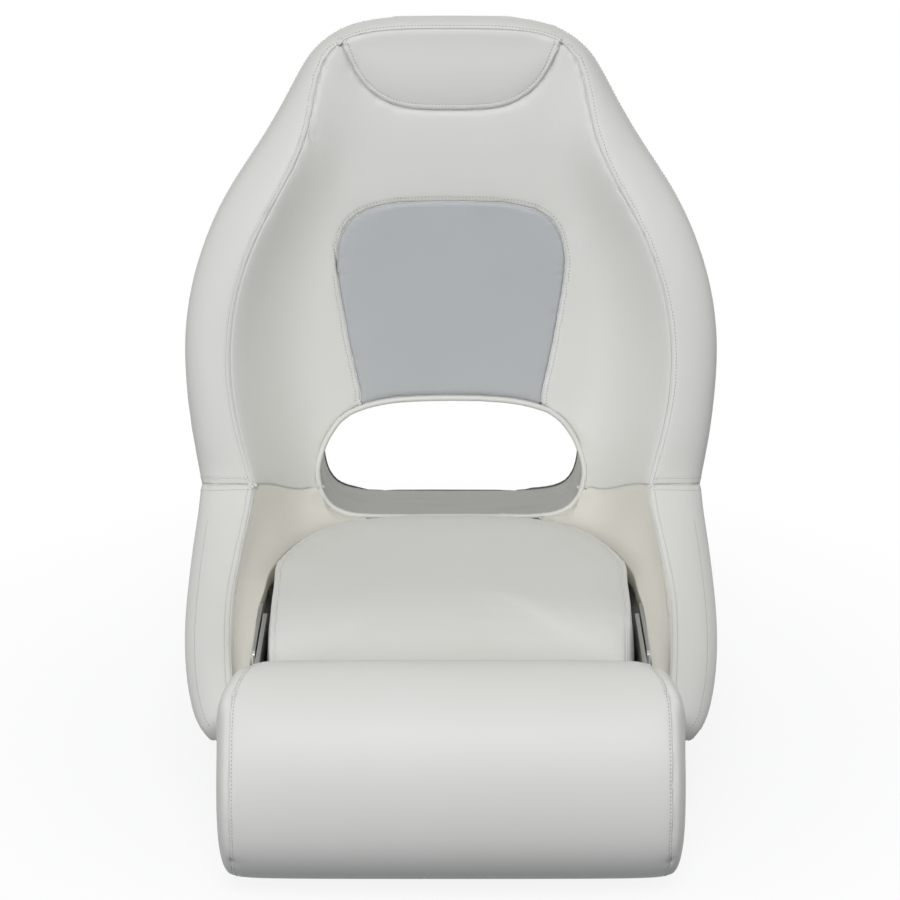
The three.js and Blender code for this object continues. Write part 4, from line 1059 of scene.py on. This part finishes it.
# A line round the cushion's top, a little inside its outline seen from above
def topLine(piece):
    flat = [vertex.co.xy for vertex in piece.data.vertices]
    outline = [flat[i] for i in convex_hull_2d(flat)]
    tree = treeOf(piece.data)
    closed = [(Vector((*corner, 0)), Vector((0, 0, 1))) for corner in [*outline, outline[0]]]
    line = []
    for place, up, along in evenly(closed, cushion["linePitch"]):
        inward = up.cross(along)
        spot, normal, index, distance = tree.ray_cast(place + inward * cushion["seamInset"] + up, -up)
        line.append((spot, normal))
    for count in range(cushion["lineRounds"]):
        line = [
            ((a[0] + b[0] + c[0]) / 3, b[1])
            for a, b, c in zip([line[-1], *line], line, [*line[1:], line[0]])]
    return [*line, line[0]]


# Draws the cushion's top down along its seam
def sewTop(piece, line):
    tree = kdOf([place for place, up in line])
    places = placesOf(piece)
    seamDistances = []
    for place in places:
        near, index, distance = tree.find(place)
        seamDistances.append(min(distance / mm, sewing["farDistance"]))
        if distance < cushion["seamWidth"]:
            place -= line[index][1] * cushion["seamDepth"] * fadeOut(distance, cushion["seamWidth"])
    moveVertices(piece, places)
    noteSeams(piece, seamDistances, [-sewing["farDistance"]] * len(places))


seatCushion = makeCushion()
line = topLine(seatCushion)
sewTop(seatCushion, line)
dress(seatCushion, whiteVinyl, "white_vinyl", "seat", "seat_cushion")
cordPiece(
    "cushionWelt",
    [[(place - up * cushion["weltDepth"], cushion["weltRadius"]) for place, up in line]],
    weltMaterial, "seat")
print("seat cushion made", len(seatCushion.data.polygons), "faces")

# Rigid parts: copies of the CAD solids with their edges broken, so that they catch the light.
# Faces that are flat within flatAngle are joined first.

rigid = {
    "bevel": 0.5 * mm,
    "segments": 2,
    "sharpAngle": 35,
    "flatAngle": 0.1,
    "finishes": {
        "moulded_plastic": shellMaterial, "stainless_steel": steelMaterial, "nylon": nylonMaterial,
        "plywood": plywoodMaterial, "brass": brassMaterial,
    },
}


def rigidPiece(node, slot, body):
    work = mergedCopy(node)
    limit = math.radians(rigid["sharpAngle"])
    bmesh.ops.dissolve_limit(
        work, angle_limit=math.radians(rigid["flatAngle"]), verts=work.verts, edges=work.edges)
    sharp = [edge for edge in work.edges if len(edge.link_faces) == 2 and edge.calc_face_angle() > limit]
    bmesh.ops.bevel(
        work, geom=sharp, offset=rigid["bevel"], offset_type="OFFSET", segments=rigid["segments"],
        profile=0.5, affect="EDGES", material=-1, clamp_overlap=True)
    first, *rest = node.split("_")
    piece = newPiece(first + "".join(word.capitalize() for word in rest), work)
    piece.data.shade_smooth()
    piece.data.set_sharp_from_angle(angle=limit)
    dress(piece, rigid["finishes"][slot], slot, body, node)


slotOf = {part["node"]: part["material_slot"] for part in frame["record"]["subparts"]}
for node, solid in nodes.items():
    if slotOf[node] in rigid["finishes"]:
        rigidPiece(node, slotOf[node], body_of(solid)[0])
    else:
        solid.material_slots[0].material = whiteVinyl
print("rigid parts made")
